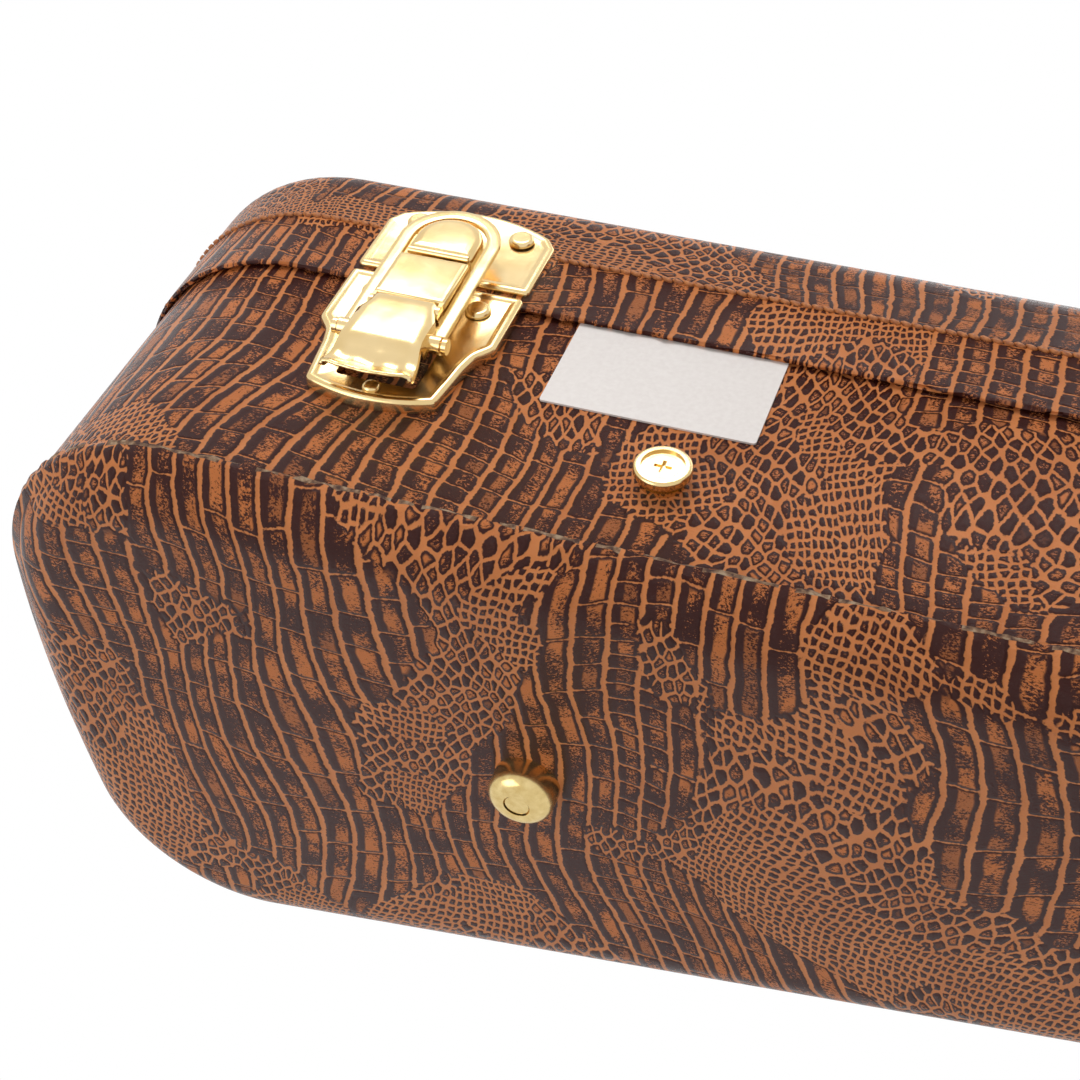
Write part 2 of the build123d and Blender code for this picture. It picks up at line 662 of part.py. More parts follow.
def strap_button(face, up):
    """Turned strap button with a dished head and a seat for its screw."""
    head_top = BUTTON_NECK_LENGTH + BUTTON_HEAD
    with BuildPart() as button:
        with BuildSketch(face):
            with Locations((0, up)):
                Circle(BUTTON_BASE_RADIUS)
        extrude(amount=BUTTON_BASE)
        with BuildSketch(face):
            with Locations((0, up)):
                Circle(BUTTON_NECK_RADIUS)
        extrude(amount=BUTTON_NECK_LENGTH)
        with BuildSketch(face.offset(BUTTON_NECK_LENGTH)):
            with Locations((0, up)):
                Circle(BUTTON_HEAD_RADIUS)
        extrude(amount=BUTTON_HEAD)
        rim_edges = button.edges().filter_by(GeomType.CIRCLE).sort_by(SortBy.RADIUS)[-2:]
        fillet(rim_edges, BUTTON_HEAD / 3)
        with BuildSketch(face.offset(head_top)):
            with Locations((0, up)):
                Circle(BUTTON_DISH_RADIUS)
        extrude(amount=-BUTTON_DISH, mode=Mode.SUBTRACT)
        with BuildSketch(face.offset(head_top - BUTTON_DISH)):
            with Locations((0, up)):
                Circle(SCREW_HEAD_RADIUS + RIVET_HOLE_CLEARANCE)
        extrude(amount=-SCREW_HEAD, mode=Mode.SUBTRACT)
        with BuildSketch(face.offset(head_top)):
            with Locations((0, up)):
                Circle(SCREW_SHANK_RADIUS + RIVET_HOLE_CLEARANCE)
        extrude(amount=-head_top, mode=Mode.SUBTRACT)
    return button.part


def strap_button_screw(face, up):
    """Cross-slotted screw that holds a strap button to the wall."""
    head_top = BUTTON_NECK_LENGTH + BUTTON_HEAD - BUTTON_DISH
    with BuildPart() as screw:
        with BuildSketch(face.offset(head_top)):
            with Locations((0, up)):
                Circle(SCREW_HEAD_RADIUS)
        extrude(amount=-SCREW_HEAD)
        with BuildSketch(face.offset(head_top)):
            with Locations((0, up)):
                Circle(SCREW_SHANK_RADIUS)
        extrude(amount=-(head_top + wall_depth))
        with BuildSketch(face.offset(head_top)):
            with Locations((0, up)):
                Rectangle(SCREW_SLOT_LENGTH, SCREW_SLOT_WIDTH)
                Rectangle(SCREW_SLOT_WIDTH, SCREW_SLOT_LENGTH)
        extrude(amount=-SCREW_SLOT_DEPTH, mode=Mode.SUBTRACT)
    return screw.part


knuckle_length = HINGE_WIDTH / HINGE_KNUCKLES
knuckle_centres = [(i - (HINGE_KNUCKLES - 1) / 2) * knuckle_length for i in range(HINGE_KNUCKLES)]
hinge_axis_up = LATCH_DATUM_DROP + RIM_GAP / 2
hinge_body_places = [(side * HINGE_RIVET_X, up) for side in (-1, 1) for up in HINGE_BODY_RIVETS]
hinge_lid_places = [(side * HINGE_RIVET_X, HINGE_LID_RIVET) for side in (-1, 1)]


def hinge_leaf(face, on_lid):
    """One hinge leaf with its knuckles, on the body wall or on the lid wall."""
    centres = knuckle_centres[1::2] if on_lid else knuckle_centres[0::2]
    places = hinge_lid_places if on_lid else hinge_body_places
    back = LID_OVERHANG if on_lid else 0
    thickness = HINGE_LID_LEAF if on_lid else HINGE_BODY_LEAF
    low = hinge_axis_up + HINGE_NOTCH if on_lid else -HINGE_LEAF_DROP
    high = hinge_axis_up + HINGE_LEAF_RISE if on_lid else 0
    with BuildPart() as leaf:
        with BuildSketch(face.offset(back)):
            with Locations((0, (low + high) / 2)):
                Rectangle(HINGE_WIDTH, high - low)
        extrude(amount=thickness)
        for centre in centres:
            with BuildSketch(across(face, centre)):
                with Locations((hinge_axis_out, hinge_axis_up)):
                    Circle(HINGE_KNUCKLE_RADIUS)
                if on_lid:
                    with Locations((back + thickness / 2, hinge_axis_up + HINGE_NOTCH / 2)):
                        Rectangle(thickness, HINGE_NOTCH)
                else:
                    with Locations((hinge_axis_out / 2, -HINGE_WEB / 2)):
                        Rectangle(hinge_axis_out, HINGE_WEB)
            extrude(amount=(knuckle_length - SIDE_CLEARANCE) / 2, both=True)
        with BuildSketch(across(face)):
            with Locations((hinge_axis_out, hinge_axis_up)):
                Circle(HINGE_PIN_RADIUS + RUNNING_CLEARANCE)
        extrude(amount=HINGE_WIDTH, both=True, mode=Mode.SUBTRACT)
        with BuildSketch(face.offset(back)):
            with Locations(*places):
                Circle(rivet_hole_radius)
        extrude(amount=thickness, mode=Mode.SUBTRACT)
    return leaf.part


def hinge_pin(face):
    """Straight hinge pin through all the knuckles."""
    with BuildPart() as pin:
        with BuildSketch(across(face)):
            with Locations((hinge_axis_out, hinge_axis_up)):
                Circle(HINGE_PIN_RADIUS)
        extrude(amount=HINGE_WIDTH / 2, both=True)
    return pin.part


bracket_places = [(side * HANDLE_SPAN / 2, -HANDLE_AXIS_DROP) for side in (-1, 1)]
bracket_screw_places = [
    (along, up + step * BRACKET_SCREW_UP) for along, up in bracket_places for step in (-1, 1)
]

os.makedirs("parts", exist_ok=True)

latch_faces = {"neck": neck_plane(head_end_x + NECK_LATCH_FROM_HEAD)}
hinge_faces = {}
for name, latch, hinge in zip(("waist", "tail"), BODY_LATCHES_FROM_TAIL, HINGES_FROM_TAIL):
    latch_faces[name] = front_plane(tail_end_x - latch)
    hinge_faces[name] = back_plane(tail_end_x - hinge)
handle_face = front_plane(handle_x)
button_faces = {"neck": (neck_plane(head_end_x + BUTTON_FROM_HEAD), BUTTON_Z - datum_z)}
button_faces["tail"] = (tail_plane(), TAIL_BUTTON_Z - datum_z)
foot_places = [(head_end_x + HEAD_FOOT_FROM_HEAD, HEAD_FOOT_Y)]
foot_y = BODY_HALF_WIDTH - BODY_FOOT_FROM_SIDE
for from_tail in BODY_FEET_FROM_TAIL:
    foot_places += [(tail_end_x - from_tail, side * foot_y) for side in (-1, 1)]

# Everything that passes through the body's wall, and everything that passes through the lid's
body_holes = []
for face in latch_faces.values():
    body_holes.append(fastener_holes(base_rivet_places, rivet_hole_radius, face, -wall_depth, COVERING))
for face in hinge_faces.values():
    body_holes.append(fastener_holes(hinge_body_places, rivet_hole_radius, face, -wall_depth, COVERING))
body_holes.append(
    fastener_holes(bracket_screw_places, rivet_hole_radius, handle_face, -wall_depth, COVERING)
)
for face, up in button_faces.values():
    shank_hole = SCREW_SHANK_RADIUS + RIVET_HOLE_CLEARANCE
    body_holes.append(fastener_holes([(0, up)], shank_hole, face, -wall_depth - COVERING, COVERING))
lid_holes = []
lid_wall_back = LID_OVERHANG - wall_depth
for face in latch_faces.values():
    lid_holes.append(
        fastener_holes(catch_rivet_places, rivet_hole_radius, face, lid_wall_back, 2 * LID_OVERHANG)
    )
for face in hinge_faces.values():
    lid_holes.append(
        fastener_holes(hinge_lid_places, rivet_hole_radius, face, lid_wall_back, 2 * LID_OVERHANG)
    )
foot_hole_radius = FOOT_RIVET_SHANK_RADIUS + RIVET_HOLE_CLEARANCE
foot_holes = fastener_holes(foot_places, foot_hole_radius, PLAN, 0, inner_floor_z + 1)

# Plywood body: a dished bottom panel under a bent side wall
body_outer = filled_case(body_wood_inset, panel_z, rim_z, low_radius=BOTTOM_EDGE_RADIUS - COVERING)
body_inner = filled_case(
    body_inner_inset, inner_floor_z, rim_z + 1, low_radius=BOTTOM_EDGE_RADIUS - COVERING - PLYWOOD
)
for label, keep in (("bottom_panel", Keep.BOTTOM), ("body_side_wall", Keep.TOP)):
    with BuildPart() as body_wood:
        add(body_outer)
        add(body_inner, mode=Mode.SUBTRACT)
        split(bisect_by=Plane.XY.offset(panel_z + PANEL_RIM), keep=keep)
        if keep == Keep.TOP:
            for holes in body_holes:
                add(holes, mode=Mode.SUBTRACT)
        else:
            add(foot_holes, mode=Mode.SUBTRACT)
    save(body_wood.part, label)

# Covering of the body: the bottom piece wraps up over the rounded edge to a seam on the wall
body_skin_outer = filled_case(body_skin_inset, FOOT_HEIGHT, rim_z, low_radius=BOTTOM_EDGE_RADIUS)
body_skin_inner = filled_case(
    body_wood_inset, panel_z, rim_z + 1, low_radius=BOTTOM_EDGE_RADIUS - COVERING
)
for label, keep in (("bottom_covering", Keep.BOTTOM), ("body_side_covering", Keep.TOP)):
    with BuildPart() as body_skin:
        add(body_skin_outer)
        add(body_skin_inner, mode=Mode.SUBTRACT)
        split(bisect_by=Plane.XY.offset(bottom_seam_z), keep=keep)
        if keep == Keep.TOP:
            for holes in body_holes:
                add(holes, mode=Mode.SUBTRACT)
        else:
            add(foot_holes, mode=Mode.SUBTRACT)
    save(body_skin.part, label)

# Plywood lid: a dished top panel over a bent side wall
lid_outer = filled_case(
    COVERING, lid_wall_z, lid_top_z - COVERING, high_radius=LID_EDGE_RADIUS - COVERING
)
lid_inner = filled_case(
    lid_inner_inset, lid_wall_z - 1, inner_roof_z, high_radius=LID_EDGE_RADIUS - COVERING - PLYWOOD
)
for label, keep in (("lid_top_panel", Keep.TOP), ("lid_side_wall", Keep.BOTTOM)):
    with BuildPart() as lid_wood:
        add(lid_outer)
        add(lid_inner, mode=Mode.SUBTRACT)
        split(bisect_by=Plane.XY.offset(lid_top_z - COVERING - PANEL_RIM), keep=keep)
        if keep == Keep.BOTTOM:
            for holes in lid_holes:
                add(holes, mode=Mode.SUBTRACT)
    save(lid_wood.part, label)

# Covering of the lid: it hangs over the rim as a lip, and has a corded seam on the wall
lid_skin_outer = filled_case(0, lip_z, lid_top_z, high_radius=LID_EDGE_RADIUS)
lid_skin_inner = filled_case(
    COVERING, lip_z - 1, lid_top_z - COVERING, high_radius=LID_EDGE_RADIUS - COVERING
)
for label, keep in (("lid_top_covering", Keep.TOP), ("lid_side_covering", Keep.BOTTOM)):
    with BuildPart() as lid_skin:
        add(lid_skin_outer)
        add(lid_skin_inner, mode=Mode.SUBTRACT)
        split(bisect_by=Plane.XY.offset(lid_seam_z), keep=keep)
        for holes in lid_holes:
            add(holes, mode=Mode.SUBTRACT)
    save(lid_skin.part, label)

# Seam cord round the lid, stopped on both sides of each catch plate
bead_low = lid_seam_z - SEAM_BEAD_WIDTH / 2
with BuildPart() as lid_seam_bead:
    add(case_band(-SEAM_BEAD_PROUD, 0, bead_low, bead_low + SEAM_BEAD_WIDTH))
    for face in latch_faces.values():
        with BuildSketch(face):
            with Locations((0, lid_seam_z - datum_z)):
                Rectangle(LATCH_WIDTH + 2 * SIDE_CLEARANCE, 2 * SEAM_BEAD_WIDTH)
        extrude(amount=2 * catch_face, mode=Mode.SUBTRACT)
save(lid_seam_bead.part, "lid_seam_bead")

# Linings and pads
save(case_band(body_inner_inset, body_lined_inset, pad_top_z + PAD_GAP, rim_z), "side_wall_lining")
save(
    case_band(
        body_lined_inset,
        body_lined_inset + RIM_STRIP_THICKNESS,
        rim_z - RIM_STRIP_DEPTH,
        rim_z + RIM_STRIP_RISE,
    ),
    "body_rim_strip",
)
save(case_band(lid_inner_inset, lid_lined_inset, lid_wall_z, lid_pad_z - PAD_GAP), "lid_wall_lining")
floor_pad = filled_case(
    body_inner_inset + PAD_SIDE_GAP,
    inner_floor_z + PAD_GAP,
    pad_top_z,
    low_radius=BOTTOM_EDGE_RADIUS - COVERING - PLYWOOD - PAD_SIDE_GAP,
)
save(floor_pad, "floor_pad")
lid_pad = filled_case(
    lid_inner_inset + PAD_SIDE_GAP,
    lid_pad_z,
    inner_roof_z - PAD_GAP,
    high_radius=LID_EDGE_RADIUS - COVERING - PLYWOOD - PAD_SIDE_GAP,
)
save(lid_pad, "lid_pad")

# Neck cradle: a padded block with a round groove for the neck
inner_fit = body_lined_inset + BOX_SIDE_GAP
floor_z = pad_top_z + PAD_GAP
cradle_block = cross_piece(inner_fit, cradle_x, CRADLE_LENGTH, floor_z, floor_z + CRADLE_HEIGHT)
with BuildPart() as neck_cradle:
    add(cradle_block)
    with BuildSketch(Plane.YZ.offset(PLAN.origin.X + cradle_x)):
        with Locations((PLAN.origin.Y, floor_z + CRADLE_HEIGHT + CRADLE_GROOVE_RISE)):
            Circle(CRADLE_GROOVE_RADIUS)
    extrude(amount=CRADLE_LENGTH, both=True, mode=Mode.SUBTRACT)
save(neck_cradle.part, "neck_cradle")

# Accessory box: an open tray with a hinged flap and a pull tab
box_top_z = floor_z + BOX_HEIGHT
box_block = cross_piece(inner_fit, box_x, BOX_LENGTH, floor_z, box_top_z)
box_hollow = cross_piece(
    inner_fit + BOX_WALL, box_x, BOX_LENGTH - 2 * BOX_WALL, floor_z + BOX_WALL, box_top_z + 1
)
with BuildPart() as accessory_box:
    add(box_block)
    add(box_hollow, mode=Mode.SUBTRACT)
save(accessory_box.part, "accessory_box")
flap_z = box_top_z + SIDE_CLEARANCE
flap_length = BOX_LENGTH - 2 * BOX_LID_INSET
flap = cross_piece(
    inner_fit + BOX_LID_SIDE_INSET, box_x, flap_length, flap_z, flap_z + BOX_LID_THICKNESS
)
save(flap, "accessory_box_lid")
with BuildPart() as pull_tab:
    with BuildSketch(PLAN.offset(flap_z + BOX_LID_THICKNESS)):
        with Locations((box_x + (TAB_LENGTH - flap_length) / 2, 0)):
            RectangleRounded(TAB_LENGTH, TAB_WIDTH, TAB_WIDTH / 3)
    extrude(amount=TAB_THICKNESS)
save(pull_tab.part, "accessory_lid_tab")

# Latches
for name, face in latch_faces.items():
    save(latch_base_plate(face), f"{name}_latch_base")
    save(latch_catch_plate(face), f"{name}_latch_catch")
    save(latch_lever(face), f"{name}_latch_lever")
    save(latch_bail(face), f"{name}_latch_bail")
    save(latch_lever_pin(face), f"{name}_latch_lever_pin")
    save(latch_bail_pin(face), f"{name}_latch_bail_pin")

# Hinges
for name, face in hinge_faces.items():
    save(hinge_leaf(face, on_lid=False), f"{name}_hinge_body_leaf")
    save(hinge_leaf(face, on_lid=True), f"{name}_hinge_lid_leaf")
    save(hinge_pin(face), f"{name}_hinge_pin")

# Rivets, one group for each body that they belong to
with BuildPart() as body_wall_rivets:
    for face in latch_faces.values():
        add(rivets(face, base_rivet_places, BASE_THICKNESS, BASE_THICKNESS + wall_depth))
    for face in hinge_faces.values():
        add(rivets(face, hinge_body_places, HINGE_BODY_LEAF, HINGE_BODY_LEAF + wall_depth))
    add(rivets(handle_face, bracket_screw_places, BRACKET_PLATE, BRACKET_PLATE + wall_depth))
save(body_wall_rivets.part, "body_wall_rivets")
with BuildPart() as lid_wall_rivets:
    for face in latch_faces.values():
        add(rivets(face, catch_rivet_places, catch_face, CATCH_THICKNESS + wall_depth))
    for face in hinge_faces.values():
        add(rivets(face, hinge_lid_places, LID_OVERHANG + HINGE_LID_LEAF, HINGE_LID_LEAF + wall_depth))
save(lid_wall_rivets.part, "lid_wall_rivets")

# Name plate
plate_face = neck_plane(head_end_x + PLATE_FROM_HEAD)
with BuildPart() as name_plate:
    with BuildSketch(plate_face):
        with Locations((0, PLATE_TOP - PLATE_HEIGHT / 2)):
            RectangleRounded(PLATE_WIDTH, PLATE_HEIGHT, PLATE_CORNER)
    extrude(amount=PLATE_THICKNESS)
save(name_plate.part, "name_plate")

# Strap buttons and their screws
for name, (face, up) in button_faces.items():
    save(strap_button(face, up), f"{name}_strap_button")
with BuildPart() as strap_button_screws:
    for face, up in button_faces.values():
        add(strap_button_screw(face, up))
save(strap_button_screws.part, "strap_button_screws")

# Feet and their rivets
with BuildPart() as feet:
    with BuildSketch(PLAN):
        with Locations(*foot_places):
            Circle(FOOT_RADIUS)
    extrude(amount=FOOT_HEIGHT)
    fillet(feet.edges().group_by(Axis.Z)[0], FOOT_EDGE_RADIUS)
    with BuildSketch(PLAN):
        with Locations(*foot_places):
            Circle(FOOT_RECESS_RADIUS)
    extrude(amount=FOOT_RECESS + FOOT_RIVET_HEAD, mode=Mode.SUBTRACT)
    add(foot_holes, mode=Mode.SUBTRACT)
save(feet.part, "feet")
with BuildPart() as foot_rivets:
    with BuildSketch(PLAN.offset(FOOT_RECESS)):
        with Locations(*foot_places):
            Circle(FOOT_RIVET_RADIUS)
    extrude(amount=FOOT_RIVET_HEAD)
    with BuildSketch(PLAN.offset(FOOT_RECESS)):
        with Locations(*foot_places):
            Circle(FOOT_RIVET_SHANK_RADIUS)
    extrude(amount=inner_floor_z - FOOT_RECESS)
save(foot_rivets.part, "foot_rivets")

# Handle: a bent rod with an eye at each end, a stitched grip, two brackets and their pins
grip_up = -HANDLE_AXIS_DROP - HANDLE_DROP
rod_plane = handle_face.offset(HANDLE_AXIS_OUT)
with BuildPart() as handle_rod:
    with BuildLine(rod_plane) as rod_path:
        FilletPolyline(
            (-HANDLE_SPAN / 2, -HANDLE_AXIS_DROP),
            (-HANDLE_SPAN / 2, grip_up),
            (HANDLE_SPAN / 2, grip_up),
            (HANDLE_SPAN / 2, -HANDLE_AXIS_DROP),
            radius=HANDLE_BEND_RADIUS,
        )
    with BuildSketch(Plane(origin=rod_path.line @ 0, z_dir=rod_path.line % 0)):
        Circle(HANDLE_ROD_RADIUS)
    sweep(path=rod_path.line)
    for along, up in bracket_places:
        with BuildSketch(across(handle_face, along)):
            with Locations((HANDLE_AXIS_OUT, up)):
                Circle(HANDLE_EYE_RADIUS)
        extrude(amount=HANDLE_EYE_LENGTH / 2, both=True)
        with BuildSketch(across(handle_face, along)):
            with Locations((HANDLE_AXIS_OUT, up)):
                Circle(HANDLE_PIN_RADIUS + RUNNING_CLEARANCE)
        extrude(amount=HANDLE_EYE_LENGTH, both=True, mode=Mode.SUBTRACT)
save(handle_rod.part, "handle_rod")
with BuildPart() as handle_grip:
    with BuildSketch(across(handle_face)):
        with Locations((HANDLE_AXIS_OUT, grip_up)):
            RectangleRounded(GRIP_DEPTH, GRIP_HEIGHT, GRIP_EDGE_RADIUS)
            Circle(HANDLE_ROD_RADIUS + RUNNING_CLEARANCE, mode=Mode.SUBTRACT)
    extrude(amount=GRIP_LENGTH / 2, both=True)
save(handle_grip.part, "handle_grip")
with BuildPart() as handle_brackets:
    with BuildSketch(handle_face):
        with Locations(*bracket_places):
            RectangleRounded(BRACKET_WIDTH, BRACKET_HEIGHT, BRACKET_PLATE)
    extrude(amount=BRACKET_PLATE)
    for along, up in bracket_places:
        for side in (-1, 1):
            with BuildSketch(across(handle_face, along + side * (BRACKET_GAP + BRACKET_EAR) / 2)):
                with Locations((HANDLE_AXIS_OUT, up)):
                    Circle(BRACKET_EAR_RADIUS)
                with Locations((HANDLE_AXIS_OUT / 2 + BRACKET_PLATE / 4, up)):
                    Rectangle(HANDLE_AXIS_OUT - BRACKET_PLATE / 2, 2 * BRACKET_EAR_RADIUS)
            extrude(amount=BRACKET_EAR / 2, both=True)
    with BuildSketch(across(handle_face)):
        with Locations((HANDLE_AXIS_OUT, -HANDLE_AXIS_DROP)):
            Circle(HANDLE_PIN_RADIUS + RUNNING_CLEARANCE)
    extrude(amount=HANDLE_SPAN, both=True, mode=Mode.SUBTRACT)
    with BuildSketch(handle_face):
        with Locations(*bracket_screw_places):
            Circle(rivet_hole_radius)
    extrude(amount=BRACKET_PLATE, mode=Mode.SUBTRACT)
save(handle_brackets.part, "handle_brackets")
pin_half_length = BRACKET_GAP / 2 + BRACKET_EAR + RUNNING_CLEARANCE
with BuildPart() as handle_pins:
    for along, up in bracket_places:
        with BuildSketch(across(handle_face, along)):
            with Locations((HANDLE_AXIS_OUT, up)):
                Circle(HANDLE_PIN_RADIUS)
        extrude(amount=pin_half_length, both=True)
        for side in (-1, 1):
            with BuildSketch(across(handle_face, along + side * (pin_half_length + PIN_HEAD / 2))):
                with Locations((HANDLE_AXIS_OUT, up)):
                    Circle(PIN_HEAD_RADIUS)
            extrude(amount=PIN_HEAD / 2, both=True)
save(handle_pins.part, "handle_pins")
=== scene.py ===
import bpy
import bmesh
from math import acos, copysign, cos, pi, radians, sin, sqrt, tan
from mathutils import Matrix, Vector, noise


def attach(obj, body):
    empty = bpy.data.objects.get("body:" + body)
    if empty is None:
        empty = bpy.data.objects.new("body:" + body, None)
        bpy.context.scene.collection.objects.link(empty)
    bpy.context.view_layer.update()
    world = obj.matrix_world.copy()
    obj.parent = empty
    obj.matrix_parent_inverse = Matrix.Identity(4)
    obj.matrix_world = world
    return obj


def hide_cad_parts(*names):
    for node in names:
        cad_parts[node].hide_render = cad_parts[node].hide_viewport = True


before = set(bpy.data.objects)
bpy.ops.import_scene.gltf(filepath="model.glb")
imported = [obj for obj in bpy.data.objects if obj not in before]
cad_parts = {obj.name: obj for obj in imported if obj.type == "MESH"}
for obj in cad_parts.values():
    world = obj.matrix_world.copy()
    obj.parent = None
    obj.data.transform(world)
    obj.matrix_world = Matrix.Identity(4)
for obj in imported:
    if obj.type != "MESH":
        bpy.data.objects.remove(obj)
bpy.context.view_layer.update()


# The shell of the case: thin plywood bent round the plan for the walls, with flat panels for
# the bottom and the lid. It is bare wood only where a hole or an edge is left open.
def linear(hex_colour):
    """An sRGB hex colour as linear red, green, blue and alpha."""
    channels = [int(hex_colour[i:i + 2], 16) / 255 for i in (1, 3, 5)]
    return [c / 12.92 if c <= 0.04045 else ((c + 0.055) / 1.055) ** 2.4 for c in channels] + [1]


def set_inputs(node, inputs):
    """Give a node's inputs their values, or link them to nodes or outputs of nodes."""
    for key, value in inputs.items():
        if isinstance(value, bpy.types.Node):
            tree.links.new(value.outputs[0], node.inputs[key])
        elif isinstance(value, bpy.types.NodeSocket):
            tree.links.new(value, node.inputs[key])
        else:
            node.inputs[key].default_value = value


def add_node(kind, inputs, steps=(), **settings):
    """Add one shader node to the tree at hand, with its settings, and its inputs by name or in
    order. The steps of a colour ramp are places and hex colours."""
    new = tree.nodes.new("ShaderNode" + kind)
    for name, value in settings.items():
        setattr(new, name, value)
    set_inputs(new, inputs if isinstance(inputs, dict) else dict(enumerate(inputs)))
    for k, (place, hex_colour) in enumerate(steps):
        element = new.color_ramp.elements[k] if k < 2 else new.color_ramp.elements.new(place)
        element.position = place
        element.color = linear(hex_colour)
    return new


def new_material(name):
    """A material with its node tree and its shader."""
    material = bpy.data.materials.new(name)
    material.use_nodes = True
    return material, material.node_tree, material.node_tree.nodes["Principled BSDF"]


def give(material, nodes):
    """Put a material on CAD nodes."""
    for name in nodes:
        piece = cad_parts[name]
        piece.data.materials.clear()
        piece.data.materials.append(material)


# Birch plywood, sanded: pale, with fine grain along the sheet every 1.5 mm and a dull surface.
plywood, tree, shader = new_material("birch_plywood_sanded")
place = add_node("TexCoord", {}).outputs["Object"]
grain_place = add_node("Mapping", {"Vector": place, "Scale": (40, 650, 650)})
grain = add_node("TexNoise", {"Vector": grain_place, "Scale": 1, "Detail": 4})
set_inputs(shader, {
    "Base Color": add_node("ValToRGB", [grain], [(0.3, "#B38E5E"), (0.7, "#D2B486")]),
    "Roughness": 0.7,
})
give(plywood, ["bottom_panel", "body_side_wall", "lid_top_panel", "lid_side_wall"])


# The covering: leathercloth embossed with a crocodile pattern, glued over the plywood in four
# sheets. One wraps the bottom and turns up on the wall to a raised and frayed edge, another
# wraps the lid's top, and strips cover the walls and fold over the rims.
PLAN_SHIFT = Vector((-0.00145, 0.00555))
SHEET = 0.0008
LID_OVERHANG = 0.0016
BOTTOM_Z = 0.007
BOTTOM_SEAM_Z = 0.01715
BODY_RIM_Z = 0.083
LIP_Z = 0.0814
LID_WALL_Z = 0.0834
LID_SEAM_Z = 0.10055
LID_TOP_Z = 0.12415
BOTTOM_EDGE = 0.0127
LID_EDGE = 0.010
NECK_TAPER = radians(5)
HEAD_CORNER = Vector((-0.36393, -0.0763))
HEAD_APEX = (-0.371683, 0, 0.327)
PLAN_CORNERS = [(HEAD_CORNER.x, HEAD_CORNER.y, 0.0429), (-0.085, -0.051897, 0.060),
                (-0.033, -0.148, 0.085), (0.360607, -0.148, 0.110), (0.370696, 0, 0.300)]
SAME_POINT = 1e-6


def clamped(value, low, high):
    """The value, kept between two limits."""
    return max(low, min(high, value))


def corner_of(corners, i, inset=0.0):
    """Corner i of a closed outline that is drawn in by an inset: its place, the way that leads to
    it, the side that the outline turns to (1 is left), and the angle."""
    here = Vector(corners[i][:2])
    before = (here - Vector(corners[i - 1][:2])).normalized()
    after = (Vector(corners[(i + 1) % len(corners)][:2]) - here).normalized()
    inwards = Vector((-before.y, before.x)) + Vector((-after.y, after.x))
    side = 1 if before.x * after.y - before.y * after.x > 0 else -1
    angle = acos(clamped(before.dot(after), -1, 1))
    return here + inwards * inset / (1 + before.dot(after)), before, side, angle


def corner_arc(here, before, side, angle, radius, steps):
    """The points of a rounded corner, each with its outward normal."""
    start = here - before * radius * tan(angle / 2)
    centre = start + Vector((-before.y, before.x)) * radius * side
    arc = []
    for step in range(steps + 1):
        spoke = Matrix.Rotation(side * angle * step / steps, 2) @ (start - centre)
        arc.append((centre + spoke, spoke.normalized() * side))
    return arc


def plan_outline(spacing):
    """Points of the closed plan outline, each with its outward normal and its arc length."""
    corners = [HEAD_APEX] + PLAN_CORNERS + [(x, -y, r) for x, y, r in PLAN_CORNERS[-2::-1]]
    arcs = []
    for i, (_, _, radius) in enumerate(corners):
        here, before, side, angle = corner_of(corners, i)
        steps = max(3, round(radius * angle / spacing))
        arcs.append(corner_arc(here, before, side, angle, radius, steps))
    points = []
    for arc, next_arc in zip(arcs, arcs[1:] + arcs[:1]):
        points += arc
        last, normal = arc[-1]
        gap = next_arc[0][0] - last
        runs = max(1, round(gap.length / spacing))
        points += [(last + gap * step / runs, normal) for step in range(1, runs)]
    length = 0
    outline = []
    for i, (point, normal) in enumerate(points):
        if i and (point - points[i - 1][0]).length < SAME_POINT:
            continue
        length += (point - outline[-1][0]).length if outline else 0
        outline.append((point, normal, length))
    return outline


def between(rings):
    """The four-sided faces between closed rings of as many points, one ring after another."""
    quads = []
    for one, two in zip(rings, rings[1:]):
        for k in range(len(one)):
            j = (k + 1) % len(one)
            quads.append((one[k], one[j], two[j], two[k]))
    return quads


def numbered_rings(count, rings, first=0):
    """The numbers of the points in rings that follow one another, from the first point on."""
    return [tuple(range(first + k * count, first + (k + 1) * count)) for k in range(rings)]


def new_piece(name, points, faces, smooth_angle=40):
    """A mesh object at the origin, its faces pointing outwards, smooth up to an angle."""
    mesh = bpy.data.meshes.new(name)
    mesh.from_pydata(points, [], faces)
    piece = bpy.data.objects.new(name, mesh)
    bpy.context.collection.objects.link(piece)
    bpy.ops.object.select_all(action="DESELECT")
    bpy.context.view_layer.objects.active = piece
    piece.select_set(True)
    bpy.ops.object.mode_set(mode="EDIT")
    bpy.ops.mesh.select_all(action="SELECT")
    bpy.ops.mesh.normals_make_consistent(inside=False)
    bpy.ops.object.mode_set(mode="OBJECT")
    shape = bmesh.new()
    shape.from_mesh(mesh)
    inside_out = shape.calc_volume(signed=True) < 0
    shape.free()
    if inside_out:
        mesh.flip_normals()
    bpy.ops.object.shade_smooth_by_angle(angle=radians(smooth_angle))
    return piece


def dress(piece, material, body, node=None):
    """Finish a piece: its material and slot, its body, and the CAD node it stands for."""
    piece.data.materials.clear()
    piece.data.materials.append(material)
    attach(piece, body)
    if node:
        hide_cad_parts(node)


def frayed(point, ring):
    """How far a cut edge wanders at a point of a ring of the plan: outwards, and upwards."""
    outwards = noise.noise(Vector((point.x * 450, point.y * 450, ring))) * 0.0005
    upwards = noise.noise(Vector((point.x * 260, point.y * 260, ring + 9))) * 0.0009
    return outwards, upwards


